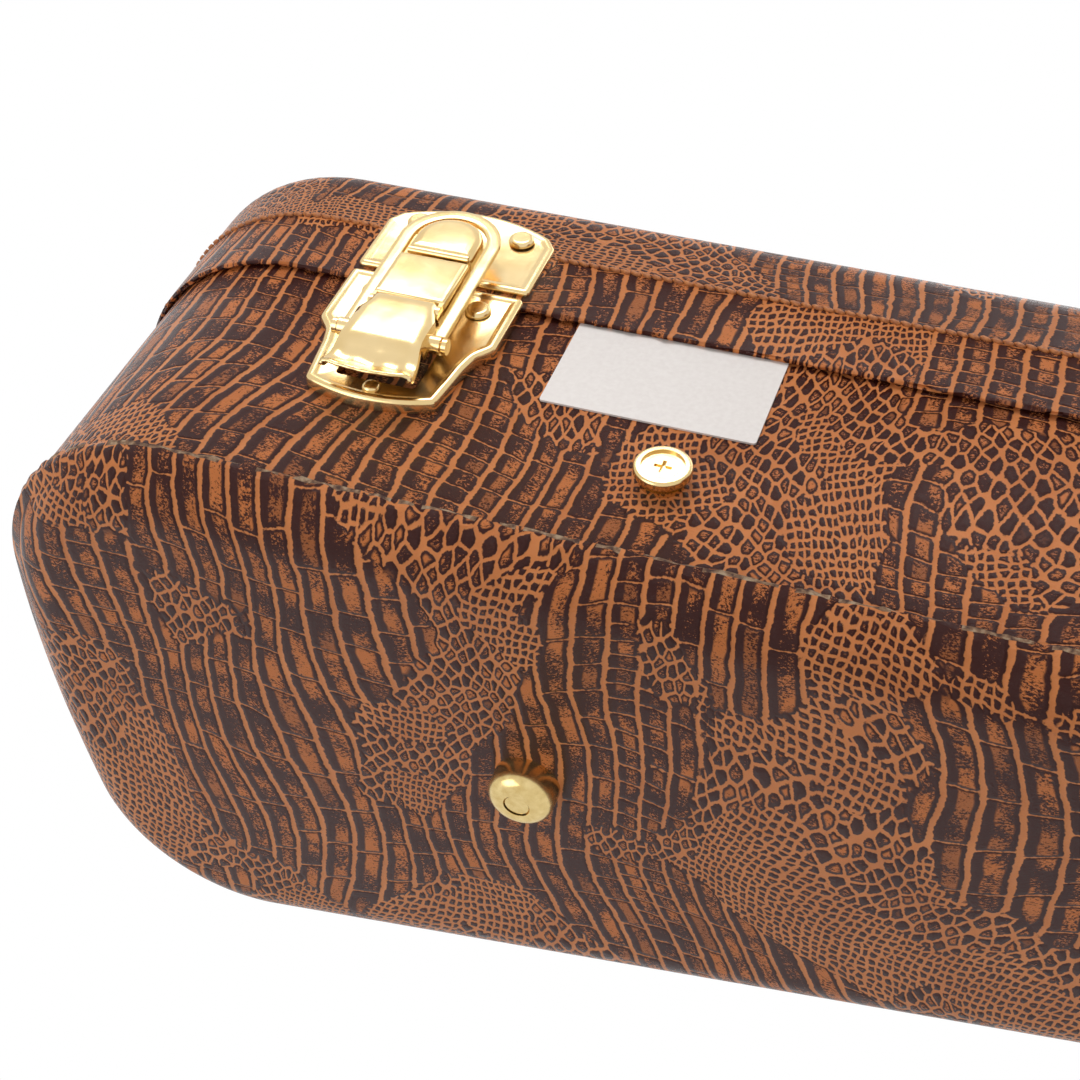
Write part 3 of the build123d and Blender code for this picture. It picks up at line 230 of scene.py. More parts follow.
def sheet_round_plan(name, profile, spread, capped=False, ragged=(), spacing=0.004):
    """A sheet that follows the plan: a ring of points for each inset and height of its profile.
    Its cloth coordinates run along the wall, or spread out from the flat middle of the sheet.
    Rings named as ragged wander a little, as a cut edge does."""
    outline = plan_outline(spacing)
    count = len(outline)
    points = []
    cloth = []
    for k, (inset, z) in enumerate(profile):
        for point, normal, length in outline:
            outwards, upwards = frayed(point, k) if k in ragged else (0, 0)
            at = point - normal * (inset - outwards) + PLAN_SHIFT
            points.append((at.x, at.y, z + upwards))
            cloth.append(spread(point, normal, length, inset, z))
    rings = numbered_rings(count, len(profile))
    faces = between(rings)
    if capped:
        faces += [rings[-1], rings[0]]
    piece = new_piece(name, points, faces)
    mesh = piece.data
    uv = mesh.uv_layers.new(name="cloth")
    total = outline[-1][2] + (outline[0][0] - outline[-1][0]).length
    for face in mesh.polygons:
        seam = len(face.vertices) == 4 and {v % count for v in face.vertices} == {0, count - 1}
        for loop in face.loop_indices:
            vertex = mesh.loops[loop].vertex_index
            u, v = cloth[vertex]
            if seam and vertex % count == 0 and spread is along_wall:
                u += total
            uv.data[loop].uv = (u, v)
    return piece


def along_wall(point, normal, length, inset, z):
    """Cloth coordinates of a strip: distance round the plan, and up the wall and over its rim."""
    return length, z + inset


def out_from_bottom(point, normal, length, inset, z):
    """Cloth coordinates of the bottom sheet, laid flat."""
    tangent_inset = LID_OVERHANG + BOTTOM_EDGE
    angle = acos(clamped((BOTTOM_Z + BOTTOM_EDGE - z) / BOTTOM_EDGE, -1, 1))
    flat = point - normal * max(inset, tangent_inset)
    return tuple(flat + normal * (BOTTOM_EDGE * angle if inset < tangent_inset else 0))


def out_from_top(point, normal, length, inset, z):
    """Cloth coordinates of the lid's top sheet, laid flat."""
    angle = acos(clamped((z - LID_TOP_Z + LID_EDGE) / LID_EDGE, -1, 1))
    down = max(0, LID_TOP_Z - LID_EDGE - z)
    flat = point - normal * max(inset, LID_EDGE)
    return tuple(flat + normal * (LID_EDGE * angle + down if inset < LID_EDGE else 0))


# The strip on the body's wall, from the bottom's seam up and over the rim
wall = LID_OVERHANG
fold = 0.004
fold_lift = 0.00015
tuck = 0.0003
side_profile = [
    (wall + tuck, BOTTOM_SEAM_Z), (wall, BOTTOM_SEAM_Z + 0.001), (wall, 0.04), (wall, 0.062),
    (wall, BODY_RIM_Z), (wall + 0.0002, BODY_RIM_Z + fold_lift),
    (wall + SHEET + fold, BODY_RIM_Z + fold_lift), (wall + SHEET + fold, BODY_RIM_Z),
    (wall + SHEET, BODY_RIM_Z), (wall + SHEET, BOTTOM_SEAM_Z), (wall + tuck, BOTTOM_SEAM_Z),
]
side_sheet = sheet_round_plan("body_side_sheet", side_profile, along_wall)

# The bottom sheet, from its inner face round the raised seam edge to its outer face
rise = acos((BOTTOM_Z + BOTTOM_EDGE - BOTTOM_SEAM_Z + 0.004) / BOTTOM_EDGE)
turns = [rise * k / 9 for k in range(10)]
centre_z = BOTTOM_Z + BOTTOM_EDGE
inner, outer = [
    [(wall + BOTTOM_EDGE - radius * sin(a), centre_z - radius * cos(a)) for a in turns]
    for radius in (BOTTOM_EDGE - SHEET, BOTTOM_EDGE)
]
seam_edge = [
    (wall + SHEET, BOTTOM_SEAM_Z), (wall - 0.0001, BOTTOM_SEAM_Z + 0.0007),
    (wall - 0.0010, BOTTOM_SEAM_Z + 0.0002), (wall - 0.0010, BOTTOM_SEAM_Z - 0.0008),
    (wall - 0.0005, BOTTOM_SEAM_Z - 0.0024),
]
frayed_rings = range(len(inner) + 1, len(inner) + 4)
bottom_sheet = sheet_round_plan("bottom_sheet", inner + seam_edge + outer[::-1],
                                out_from_bottom, True, frayed_rings, 0.0016)

# The strip on the lid's wall, from the stitched seam down round the lip and over the rim
lip = SHEET / 2 + 0.0002
lid_side_profile = [(SHEET, LID_SEAM_Z), (0, LID_SEAM_Z), (0, 0.090), (0, LIP_Z + 2 * lip)]
for a in range(15, 166, 30):
    lid_side_profile.append((lip - lip * cos(radians(a)), LIP_Z + lip - lip * sin(radians(a))))
lid_side_profile += [
    (2 * lip, LIP_Z + 2 * lip), (2 * lip, LID_WALL_Z - fold_lift),
    (SHEET + fold, LID_WALL_Z - fold_lift), (SHEET + fold, LID_WALL_Z),
    (SHEET, LID_WALL_Z), (SHEET, LID_SEAM_Z),
]
lid_side_sheet = sheet_round_plan("lid_side_sheet", lid_side_profile, along_wall,
                                  ragged=(5, 6, 7), spacing=0.0025)

# The lid's top sheet, from its inner face round its cut edge to its outer face
bend = [radians(a) for a in range(0, 91, 9)]
centre_z = LID_TOP_Z - LID_EDGE
inner, outer = [
    [(LID_EDGE - radius * cos(a), centre_z + radius * sin(a)) for a in bend]
    for radius in (LID_EDGE - SHEET, LID_EDGE)
]
lid_top_profile = inner[::-1] + [(SHEET, LID_SEAM_Z), (0, LID_SEAM_Z)] + outer
lid_top_sheet = sheet_round_plan("lid_top_sheet", lid_top_profile, out_from_top, True)

# PVC leathercloth, hot embossed: tan grooves, scales wiped with dark brown ink that breaks into
# flecks over their middle, a glossy top coat. Belly scales lie in rows 6.9 mm wide, flank scales
# are pebbles of about 2 to 4 mm, and the relief is 0.45 mm deep.
ROW = 6.9
leathercloth, tree, shader = new_material("pvc_leathercloth_embossed")


def moved(place, size, reach, detail):
    """The pattern's place, pushed about by noise of that size in millimetres."""
    push = add_node("TexNoise", {"Vector": place, "Scale": 1 / size, "Detail": detail})
    centred = add_node("VectorMath", [push.outputs["Color"], (0.5, 0.5, 0.5)], operation="SUBTRACT")
    scaled = add_node("VectorMath", {0: centred, "Scale": reach}, operation="SCALE")
    return add_node("VectorMath", [place, scaled], operation="ADD")


eased = {"interpolation_type": "SMOOTHSTEP"}
flat = add_node("UVMap", {}, uv_map="cloth")
millimetres = add_node("VectorMath", {0: flat, "Scale": 1000}, operation="SCALE")
bent_rows = moved(millimetres, size=85, reach=38, detail=1)
hide = moved(bent_rows, size=6, reach=1.7, detail=2)
hide_parts = add_node("SeparateXYZ", [hide])

# Belly scales: rows of tiles, each row shifted along and with its own length of tile
row_place = add_node("Math", [hide_parts.outputs["X"], 1 / ROW], operation="MULTIPLY")
row = add_node("Math", [row_place], operation="FLOOR")
row_shift = add_node("TexWhiteNoise", {"W": row}, noise_dimensions="1D")
length_drift = add_node("TexNoise", {"W": row, "Scale": 0.13, "Detail": 1}, noise_dimensions="1D")
tile_length = add_node("MapRange", [length_drift, 0.40, 0.64, 4.5, 26])
tile_count = add_node("Math", [hide_parts.outputs["Y"], tile_length], operation="DIVIDE")
tile_place = add_node("Math", [tile_count, row_shift], operation="ADD")
tile = add_node("Math", [tile_place], operation="FLOOR")
in_tile = add_node("Math", [tile_place], operation="FRACT")
to_tile_edge = add_node("Math", [in_tile, 0.5], operation="PINGPONG")
tile_edge = add_node("Math", [to_tile_edge, tile_length], operation="MULTIPLY")
in_row = add_node("Math", [row_place], operation="FRACT")
from_row = add_node("Math", [in_row, ROW], operation="MULTIPLY")
to_row = add_node("Math", [ROW, from_row], operation="SUBTRACT")
row_edge = add_node("Math", [from_row, to_row], operation="MINIMUM")
row_groove = add_node("Math", [row_edge, 0.12], operation="SUBTRACT")
tile_groove = add_node("Math", [tile_edge, 0.3], operation="ADD")
belly_edge = add_node("Math", [row_groove, tile_groove, 0.9], operation="SMOOTH_MIN")
belly_name = add_node("CombineXYZ", [row, tile])
belly_random = add_node("TexWhiteNoise", {"Vector": belly_name}, noise_dimensions="2D")
far_from_row = add_node("Math", [from_row, 1.5], operation="SUBTRACT")
far_to_row = add_node("Math", [to_row, 0.5], operation="SUBTRACT")
inner_row = add_node("Math", [far_from_row, far_to_row], operation="MINIMUM")
inner_tile = add_node("Math", [tile_edge, 0.4], operation="ADD")
belly_inner = add_node("Math", [inner_row, inner_tile], operation="MINIMUM")


def pebbles(width, length, turn, randomness):
    """Distance to the edge of a pebble scale in millimetres, and the pebble's random value."""
    placed = add_node("Mapping", {"Vector": hide, "Rotation": (0, 0, radians(turn)),
                                  "Scale": (1 / width, 1 / length, 1)})
    shape = {"Vector": placed, "Scale": 1, "Randomness": randomness}
    cells = add_node("TexVoronoi", shape, voronoi_dimensions="2D", feature="DISTANCE_TO_EDGE")
    names = add_node("TexVoronoi", shape, voronoi_dimensions="2D", feature="F1")
    own = add_node("SeparateXYZ", [names.outputs["Color"]])
    oval = add_node("Math", [0.66, names], operation="SUBTRACT")
    edge = add_node("Math", [cells, oval, 0.12], operation="SMOOTH_MIN")
    return add_node("Math", [edge, sqrt(width * length)], operation="MULTIPLY"), own.outputs[0]


# Flank scales: larger pebbles that lie slanted, and small square ones towards the legs
large_edge, large_random = pebbles(2.5, 4.1, turn=32, randomness=0.6)
small_edge, small_random = pebbles(1.7, 2.3, turn=-12, randomness=0.45)
size_zone = add_node("TexNoise", {"Vector": millimetres, "Scale": 1 / 42, "Detail": 1})
small = add_node("MapRange", [size_zone, 0.50, 0.515], **eased)
pebble_edge = add_node("Mix", {"Factor": small, "A": large_edge, "B": small_edge})
pebble_random = add_node("Mix", {"Factor": small, "A": large_random, "B": small_random})

# Where the belly gives way to the flank
zone = add_node("TexNoise", {"Vector": hide, "Scale": 1 / 75, "Detail": 2, "Roughness": 0.4})
flank = add_node("MapRange", [zone, 0.51, 0.525], **eased)
scale_edge = add_node("Mix", {"Factor": flank, "A": belly_edge, "B": pebble_edge})
scale_inner = add_node("Mix", {"Factor": flank, "A": belly_inner, "B": pebble_edge})

# Ink: none in the grooves, full on the rim of a scale, broken into flecks in its middle
rough_edge = add_node("TexNoise", {"Vector": millimetres, "Scale": 1 / 0.9, "Detail": 3})
edge_noise = add_node("MapRange", [rough_edge, 0.2, 0.8, -0.22, 0.22])
groove_half = add_node("Mix", {"Factor": flank, "A": 0.42, "B": 0.30})
uneven_edge = add_node("Math", [scale_edge, edge_noise], operation="ADD")
past_groove = add_node("Math", [uneven_edge, groove_half], operation="SUBTRACT")
inked = add_node("MapRange", [past_groove, -0.08, 0.12], **eased)
fleck_place = add_node("Mapping", {"Vector": hide, "Scale": (1.5, 2.2, 1)})
flecks = add_node("TexNoise", {"Vector": fleck_place, "Scale": 1, "Detail": 6, "Roughness": 0.72})
patches = add_node("TexNoise", {"Vector": millimetres, "Scale": 1 / 9, "Detail": 2})
weaker_patches = add_node("Math", [patches, 0.7], operation="MULTIPLY")
fleck_height = add_node("Math", [flecks, weaker_patches], operation="ADD")
broken = add_node("MapRange", [fleck_height, 0.82, 0.90], **eased)
middle_from = add_node("Mix", {"Factor": flank, "A": 0.75, "B": 0.66})
past_rim = add_node("Math", [scale_inner, middle_from], operation="SUBTRACT")
middle = add_node("MapRange", [past_rim, 0, 0.5], **eased)
belly_wear = add_node("MapRange", [belly_random, 0.0, 0.5, 0.55], **eased)
pebble_wear = add_node("MapRange", [pebble_random, 0.3, 0.6], **eased)
wear = add_node("Mix", {"Factor": flank, "A": belly_wear, "B": pebble_wear})
worn_middle = add_node("Math", [middle, wear], operation="MULTIPLY")
ink_lost = add_node("Math", [worn_middle, broken], operation="MULTIPLY")
tan_drift = add_node("TexNoise", {"Vector": millimetres, "Scale": 1 / 14, "Detail": 3})
tans = {0: tan_drift, 6: linear("#C2703A"), 7: linear("#E89458")}
grooves = add_node("Mix", tans, data_type="RGBA").outputs[2]
browns = {0: ink_lost, 6: linear("#3C130B"), 7: linear("#CC7840")}
scales = add_node("Mix", browns, data_type="RGBA").outputs[2]

# Relief: scales domed above the grooves, with fine wrinkles across them
dome = add_node("MapRange", [scale_edge, 0, 1.2, 0, 0.00045], **eased)
wrinkle = add_node("MapRange", [flecks, 0.3, 0.7, 0, 0.00016])
height = add_node("Math", [dome, wrinkle], operation="ADD")
covering_colour = add_node("Mix", {0: inked, 6: grooves, 7: scales}, data_type="RGBA")
set_inputs(shader, {
    "Base Color": covering_colour.outputs[2],
    "Normal": add_node("Bump", {"Height": height, "Distance": 1.0, "Strength": 1.0}),
    "Roughness": add_node("MapRange", [ink_lost, 0, 1, 0.19, 0.34], **eased),
    "Specular IOR Level": 0.16,
})
dress(side_sheet, leathercloth, "case_body", "body_side_covering")
dress(bottom_sheet, leathercloth, "case_body", "bottom_covering")
dress(lid_side_sheet, leathercloth, "lid", "lid_side_covering")
dress(lid_top_sheet, leathercloth, "lid", "lid_top_covering")

# The cut edge of the bottom sheet shows its cotton backing, soiled and frayed. Its pale tones are
# also a painted highlight along the seam's edge.
raw_edge_and_painted_highlight, tree, shader = new_material("cut_backing_with_painted_highlight")
place = add_node("TexCoord", {}).outputs["Object"]
fray = add_node("TexNoise", {"Vector": place, "Scale": 700, "Detail": 3})
# The dark tones are soiling, and the pale tones are a painted highlight along the seam's edge.
soiled_and_highlight_tones = [(0.35, "#3A2018"), (0.5, "#7E5F45"), (0.65, "#A68F74")]
set_inputs(shader, {"Base Color": add_node("ValToRGB", [fray], soiled_and_highlight_tones), "Roughness": 0.85})
bottom_sheet.data.materials.append(raw_edge_and_painted_highlight)
# Faces above the seam take this colour: the soiled cut edge with its painted highlight.
raw_and_highlight_from = BOTTOM_SEAM_Z - 0.0004
for face in bottom_sheet.data.polygons:
    if face.center.z > raw_and_highlight_from:
        face.material_index = 1


# Brass fittings: latches, hinges, rivets, strap buttons and the handle's metal, stamped or turned
# from brass, polished and plated pale gold, with soft waves from stamping.
def raised(pattern, height, strength=1.0):
    """The relief that a pattern gives, as high as given in metres."""
    relief = add_node("MapRange", [pattern, 0, 1, 0, height])
    return add_node("Bump", {"Height": relief, "Distance": 1.0, "Strength": strength})


brass, tree, shader = new_material("stamped_brass_plated")
place = add_node("TexCoord", {}).outputs["Object"]
waves = add_node("TexNoise", {"Vector": place, "Scale": 160, "Detail": 1})
fine = add_node("TexNoise", {"Vector": place, "Scale": 2600, "Detail": 2})
set_inputs(shader, {
    "Base Color": add_node("ValToRGB", [waves], [(0.3, "#DFC188"), (0.7, "#E9CE9A")]),
    "Metallic": 1,
    "Roughness": add_node("MapRange", [fine, 0.3, 0.7, 0.17, 0.25]),
    "Normal": raised(waves, 0.00010),
})
give(brass, [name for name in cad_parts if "_latch_" in name or "_hinge_" in name])
give(brass, ["body_wall_rivets", "lid_wall_rivets", "neck_strap_button", "tail_strap_button",
             "strap_button_screws", "handle_rod", "handle_brackets", "handle_pins"])

# Antique brass, turned and tumbled: a little darker and more satin than the latches.
antique, tree, shader = new_material("turned_brass_antique")
place = add_node("TexCoord", {}).outputs["Object"]
tarnish = add_node("TexNoise", {"Vector": place, "Scale": 500, "Detail": 4})
set_inputs(shader, {
    "Base Color": add_node("ValToRGB", [tarnish], [(0.3, "#CDB173"), (0.7, "#E0C88E")]),
    "Metallic": 1,
    "Roughness": add_node("MapRange", [tarnish, 0.3, 0.7, 0.18, 0.27]),
})
give(antique, ["feet", "foot_rivets"])


# The three draw latches, each stamped from sheet brass: a catch plate with a hollow hook, a base
# plate with a box panel and a turned edge, a thumb lever with a dished lip, and a bail bent from
# flat wire. Their sizes are in millimetres: along the wall, up from a datum, and out of the wall.
DATUM_Z = 0.081
BODY_HALF_WIDTH = 0.148
SHARPEST = 0.05


def neck_place(x):
    """The front of the neck part's covering at x: a point, the way along and the way out."""
    half_width = -HEAD_CORNER.y - (x - HEAD_CORNER.x) * tan(NECK_TAPER)
    along = Vector((cos(NECK_TAPER), sin(NECK_TAPER), 0))
    outward = Vector((sin(NECK_TAPER), -cos(NECK_TAPER), 0))
    origin = Vector((x + PLAN_SHIFT.x, PLAN_SHIFT.y - half_width, DATUM_Z))
    return origin - outward * LID_OVERHANG, along, outward


def front_place(x):
    """The same for the front of the body part."""
    origin = Vector((x + PLAN_SHIFT.x, PLAN_SHIFT.y - BODY_HALF_WIDTH + LID_OVERHANG, DATUM_Z))
    return origin, Vector((1, 0, 0)), Vector((0, -1, 0))


def on_wall(place, u, v, w):
    """A point in millimetres along a place on the wall, up from its datum, and out of the wall."""
    origin, along, outward = place
    return origin + (along * u + Vector((0, 0, v)) + outward * w) / 1000


latch_places = {"neck": neck_place(-0.2886), "waist": front_place(0.042),
                "tail": front_place(0.233)}


def rounded(corners, inset=0.0, step=0.7):
    """A closed outline through corners (along, up, radius), drawn in by an inset, its corners
    rounded. However far it is drawn in, it has the same number of points."""
    outline = []
    for i, (_, _, radius) in enumerate(corners):
        here, before, side, angle = corner_of(corners, i, inset)
        if radius == 0:
            outline.append(tuple(here))
            continue
        steps = max(2, round(radius * angle / step))
        drawn_in = max(SHARPEST, radius - side * inset)
        arc = corner_arc(here, before, side, angle, drawn_in, steps)
        outline += [tuple(point) for point, _ in arc]
    return outline


def bowed(start, end, rise, count):
    """Points between two corners on an arc that bows up by rise, each with no corner radius."""
    half = (end[0] - start[0]) / 2
    radius = (half * half + rise * rise) / (2 * abs(rise))
    middle = (start[0] + end[0]) / 2
    points = []
    for k in range(1, count):
        x = start[0] + 2 * half * k / count
        lift = sqrt(radius * radius - (x - middle) ** 2) - (radius - abs(rise))
        points.append((x, start[1] + copysign(lift, rise), 0))
    return points


def skin(shape, rings, capped=True):
    """Join rings of points of a mesh in the making by faces, and close the two ends."""
    for face in between(rings):
        shape.faces.new(face)
    if capped:
        shape.faces.new(rings[0])
        shape.faces.new(rings[-1])


def stamping(shape, corners, back, height, steps, step=0.7, capped=True):
    """Add a stamped shell to a mesh in the making: an outline raised from its back by a height,
    then drawn in by steps (inwards, upwards). Gives its back and front rims."""
    inset, level = 0, back
    rings = []
    for inwards, upwards in [(0, 0), (0, height), *steps]:
        inset += inwards
        level += upwards
        outline = rounded(corners, inset, step)
        rings.append([shape.verts.new((x, y, level)) for x, y in outline])
    skin(shape, rings, capped)
    return rings[0], rings[-1]


def rod(shape, path, radius, sides=12, flat=None):
    """Add a round or flat rod along a path. A flat one is half as wide as flat says, in the plane
    of the path, and as thick as twice the radius, with rounded edges."""
    fullness = 1.35
    edge = radius * 0.35
    rings = []
    for i, point in enumerate(path):
        ahead = path[min(i + 1, len(path) - 1)] - path[max(i - 1, 0)]
        ahead.normalize()
        level = Vector((0, 0, 1)) if abs(ahead.z) < 0.8 else Vector((0, 1, 0))
        beside = ahead.cross(level).normalized()
        over = beside.cross(ahead)
        ring = []
        for k in range(sides):
            a = 2 * pi * (k + 0.5) / sides
            wide, thick = radius * cos(a), radius * sin(a)
            if flat is not None:
                wide = clamped(cos(a) * fullness, -1, 1) * (flat - edge) + edge * cos(a)
                thick = radius * clamped(sin(a) * fullness, -1, 1)
            ring.append(shape.verts.new(point + beside * wide + over * thick))
        rings.append(ring)
    skin(shape, rings)


def piece_from(shape, label, placed, smooth_angle):
    """A mesh object from a mesh in the making, each of its points put in its place."""
    shape.verts.index_update()
    points = [placed(vertex.co) for vertex in shape.verts]
    faces = [[v.index for v in face.verts] for face in shape.faces]
    shape.free()
    return new_piece(label, points, faces, smooth_angle)


def on_latch(name, shape, label, body, node, smooth_angle=35):
    """Finish a latch piece: put it in place on its wall, and let it stand for its CAD node."""
    piece = piece_from(shape, label, lambda at: on_wall(latch_places[name], *at), smooth_angle)
    dress(piece, brass, body, node)
    return piece


for name in latch_places:
    # Catch plate: a plate with a turned edge, and a hollow U-shaped hook with a rolled low edge
    crown = bowed((17.7, 25.3), (-17.7, 25.3), 4.5, 14)
    shape = bmesh.new()
    catch_corners = [(-20, 4.2, 1.2), (20, 4.2, 1.2), (20, 22, 1.5), (17.7, 25.3, 1.2), *crown,
                     (-17.7, 25.3, 1.2), (-20, 22, 1.5)]
    turned_edge = [(0.15, 0.35), (0.3, 0.3), (0.4, 0.1), (0.6, 0), (0.5, -0.25), (0.6, -0.1)]
    stamping(shape, catch_corners, 1.6, 0.5, turned_edge)
    hook_corners = [(-7.5, 3.4, 0.8), (7.5, 3.4, 0.8), (7.5, 16.8, 7.4), (-7.5, 16.8, 7.4)]
    hook_edge = [(0.12, 0.5), (0.25, 0.45), (0.45, 0.35), (0.7, 0.25), (0.9, 0.08)]
    stamping(shape, hook_corners, 2.0, 6.6, hook_edge)
    rod(shape, [Vector((u, 3.5, 9.2)) for u in (-6.9, -6.7, -6, 0, 6, 6.7, 6.9)], 0.95)
    on_latch(name, shape, f"{name}_catch_stamping", "lid", f"{name}_latch_catch")

    # Base plate: turned edge, a hollow under the lever with a small stop, the box panel and ears
    dip = bowed((-14.4, -36.4), (14.4, -36.4), -3, 12)
    shape = bmesh.new()
    base_corners = [(20, -16.2, 3), (20, 2.1, 1.2), (-20, 2.1, 1.2), (-20, -16.2, 3),
                    (-17, -19.8, 5), (-16, -24, 8), (-14.4, -36.4, 1.4), *dip,
                    (14.4, -36.4, 1.4), (16, -24, 8), (17, -19.8, 5)]
    turned_edge = [(0.2, 0.35), (0.35, 0.3), (0.5, 0.15), (0.5, -0.05), (0.45, -0.3),
                   (0.5, -0.15)]
    rims = stamping(shape, base_corners, 0.05, 2.25, turned_edge, capped=False)
    hollow = rounded([(-9, -33.4, 1), (9, -33.4, 1), (9, -18, 1), (-9, -18, 1)])
    holes = [[shape.verts.new((x, y, rim[0].co.z)) for x, y in hollow] for rim in rims]
    skin(shape, holes, capped=False)
    for rim, hole in zip(rims, holes):
        edges = [shape.edges.get(ends) for ring in (rim, hole)
                 for ends in zip(ring, ring[1:] + ring[:1])]
        bmesh.ops.triangle_fill(shape, edges=edges, use_beauty=True, use_dissolve=False)
    panel = [(-8, -13.8, 0.5), (8, -13.8, 0.5), (8, 1, 0.5), (-8, 1, 0.5)]
    stamping(shape, panel, 2.2, 7.6, [(0.1, 0.25), (0.2, 0.2), (0.3, 0.1), (0.5, 0.05)], 0.3)
    stop = [(-1.8, -37.2, 1.7), (1.8, -37.2, 1.7), (1.8, -33.6, 1.7), (-1.8, -33.6, 1.7)]
    stamping(shape, stop, 2.2, 0.8, [(0.2, 0.3), (0.4, 0.25), (0.5, 0.1)], 0.5)
    for side in (-1, 1):
        rod(shape, [Vector((side * u, -16, 8.8)) for u in (6.95, 8)], 1.75, sides=20)
        left, right = side * 7.45 - 0.5, side * 7.45 + 0.5
        rib = [(left, -16, 0.2), (right, -16, 0.2), (right, -13.2, 0.2), (left, -13.2, 0.2)]
        stamping(shape, rib, 2.4, 7.6, [(0.1, 0.1)], 0.3)
    on_latch(name, shape, f"{name}_base_stamping", "case_body", f"{name}_latch_base")

    # Thumb lever: rolled over its pin, flat, then bent down into a dished lip that curls up again
    shape = bmesh.new()
    spine = [(-14.45, 8.2), (-14.4, 9.2), (-14.9, 9.95), (-15.7, 10.3), (-17.5, 10.4),
             (-20.5, 10.4), (-23, 10.4), (-25.5, 10.4), (-27.6, 10.35), (-28.9, 10.1),
             (-30, 9.55), (-31, 8.8), (-32, 8.15), (-33.2, 7.75), (-34.6, 7.65), (-36, 7.85),
             (-37.2, 8.25), (-38.3, 8.8), (-39.0, 9.2)]
    across = [k / 9 for k in range(-9, 10)]
    grid = []
    for up, out in spine:
        # Narrow between the ears, wider under them, and flared towards the lip
        if up > -18.4:
            half = 6.6
        elif up > -20:
            half = 7.7
        else:
            half = 7.9 + 1.4 * clamped((-27 - up) / 9.5, 0, 1)
        tip = clamped((-35.4 - up) / 3.6, 0, 1)
        dish = max(0, 1 - abs(up + 34.6) / 5.2)
        flange = 4.3 if -28.2 < up < -19.9 else 0.9
        columns = [(-1, flange), (-1, flange / 2)] + [(share, 0) for share in across]
        columns += [(1, flange / 2), (1, flange)]
        row = []
        for share, lower in columns:
            edge = max(0, abs(share) - 0.86) / 0.14
            rounding = 0.45 * edge * edge
            curl = dish * (share * share - 0.75) - 0.25 * dish * cos(3 * pi * share)
            wave = 0.35 * tip * noise.noise(Vector((share * 3, up * 0.2, 4)))
            inwards = tip * tip * share * share * 1.2
            row.append(shape.verts.new((share * half, up + inwards - wave,
                                        out + curl - rounding - lower + wave)))
        grid.append(row)
    for one, two in zip(grid, grid[1:]):
        for k in range(len(one) - 1):
            shape.faces.new((one[k], one[k + 1], two[k + 1], two[k]))
    lever = on_latch(name, shape, f"{name}_lever_stamping", f"{name}_lever",
                     f"{name}_latch_lever", 60)
    middle = lever.data.polygons[len(lever.data.polygons) // 2]
    if middle.normal.dot(latch_places[name][2]) < 0:
        lever.data.flip_normals()
    thick = lever.modifiers.new("sheet", "SOLIDIFY")
    thick.thickness = 0.0008
    thick.offset = -1

    # Bail: flat wire with rounded edges, round over the hook, an eye round its pin at each leg
    shape = bmesh.new()
    pin_up, pin_out, reach, loop = -24.05, 7.4, 33.36, 9.88
    lean = 0.95 / 33.35
    leg = (-0.3, 2, 6, 14, 22, 30)
    flat_path = [(-loop, t) for t in leg]
    flat_path += [(-loop * cos(radians(a)), reach + loop * sin(radians(a)))
                  for a in range(0, 181, 6)]
    flat_path += [(loop, t) for t in leg[::-1]]
    wire = [Vector((u, pin_up + t, pin_out + t * lean)) for u, t in flat_path]
    rod(shape, wire, 0.65, 16, flat=1.52)
    for side in (-1, 1):
        eye = [Vector((side * u, pin_up, pin_out)) for u in (8.36, 8.5, 11.25, 11.4)]
        rod(shape, eye, 2.0, 24)
    on_latch(name, shape, f"{name}_bail_loop", f"{name}_bail", f"{name}_latch_bail", 50)


# The name plate: a thin aluminium plate fixed flat to the wall. It is printed satin off-white all
# over, with a barely seen grain, and left bare.
plate, tree, shader = new_material("aluminium_plate_printed")
place = add_node("TexCoord", {}).outputs["Object"]
print_grain = add_node("TexNoise", {"Vector": place, "Scale": 900, "Detail": 3})
set_inputs(shader, {
    "Base Color": add_node("ValToRGB", [print_grain], [(0.3, "#D9D1CC"), (0.7, "#E0D9D4")]),
    "Roughness": 0.35,
})
give(plate, ["name_plate"])


# The seam round the lid: the edges of the two sheets are closed with a row of short twisted
# stitches in tan thread, which stops at the catch plates.
thread, tree, shader = new_material("bonded_thread_tan")
place = add_node("TexCoord", {}).outputs["Object"]
strands = add_node("TexNoise", {"Vector": place, "Scale": 1400, "Detail": 2})
set_inputs(shader, {
    "Base Color": add_node("ValToRGB", [strands], [(0.3, "#8A4A22"), (0.7, "#C47A3C")]),
    "Roughness": 0.55,
})
STITCH_SPACING = 0.0024
STITCH_PROUD = 0.0001
CATCH_HALF_WIDTH = 0.0218
CATCH_NEAR = 0.01


def stitch(points, faces, middle, along, outward, length, radius):
    """Add one stitch: a short thread, thick in the middle and slanted against its neighbours."""
    heading = (along + along.cross(outward) * 0.35).normalized()
    over = heading.cross(outward).normalized()
    rings = numbered_rings(6, 4, len(points))
    for share, size in ((-0.5, 0.35), (-0.25, 0.95), (0.25, 0.95), (0.5, 0.35)):
        for k in range(6):
            spoke = over * cos(pi * k / 3) + outward * sin(pi * k / 3)
            points.append(middle + heading * length * share + spoke * radius * size)
    faces.extend(between(rings) + [rings[0], rings[-1]])


def by_catch(at):
    """Whether a point of the seam lies behind a catch plate."""
    for origin, along, outward in latch_places.values():
        offset = at - origin
        if (abs(offset.dot(along)) < CATCH_HALF_WIDTH
                and abs(offset.dot(outward)) < CATCH_NEAR):
            return True
    return False


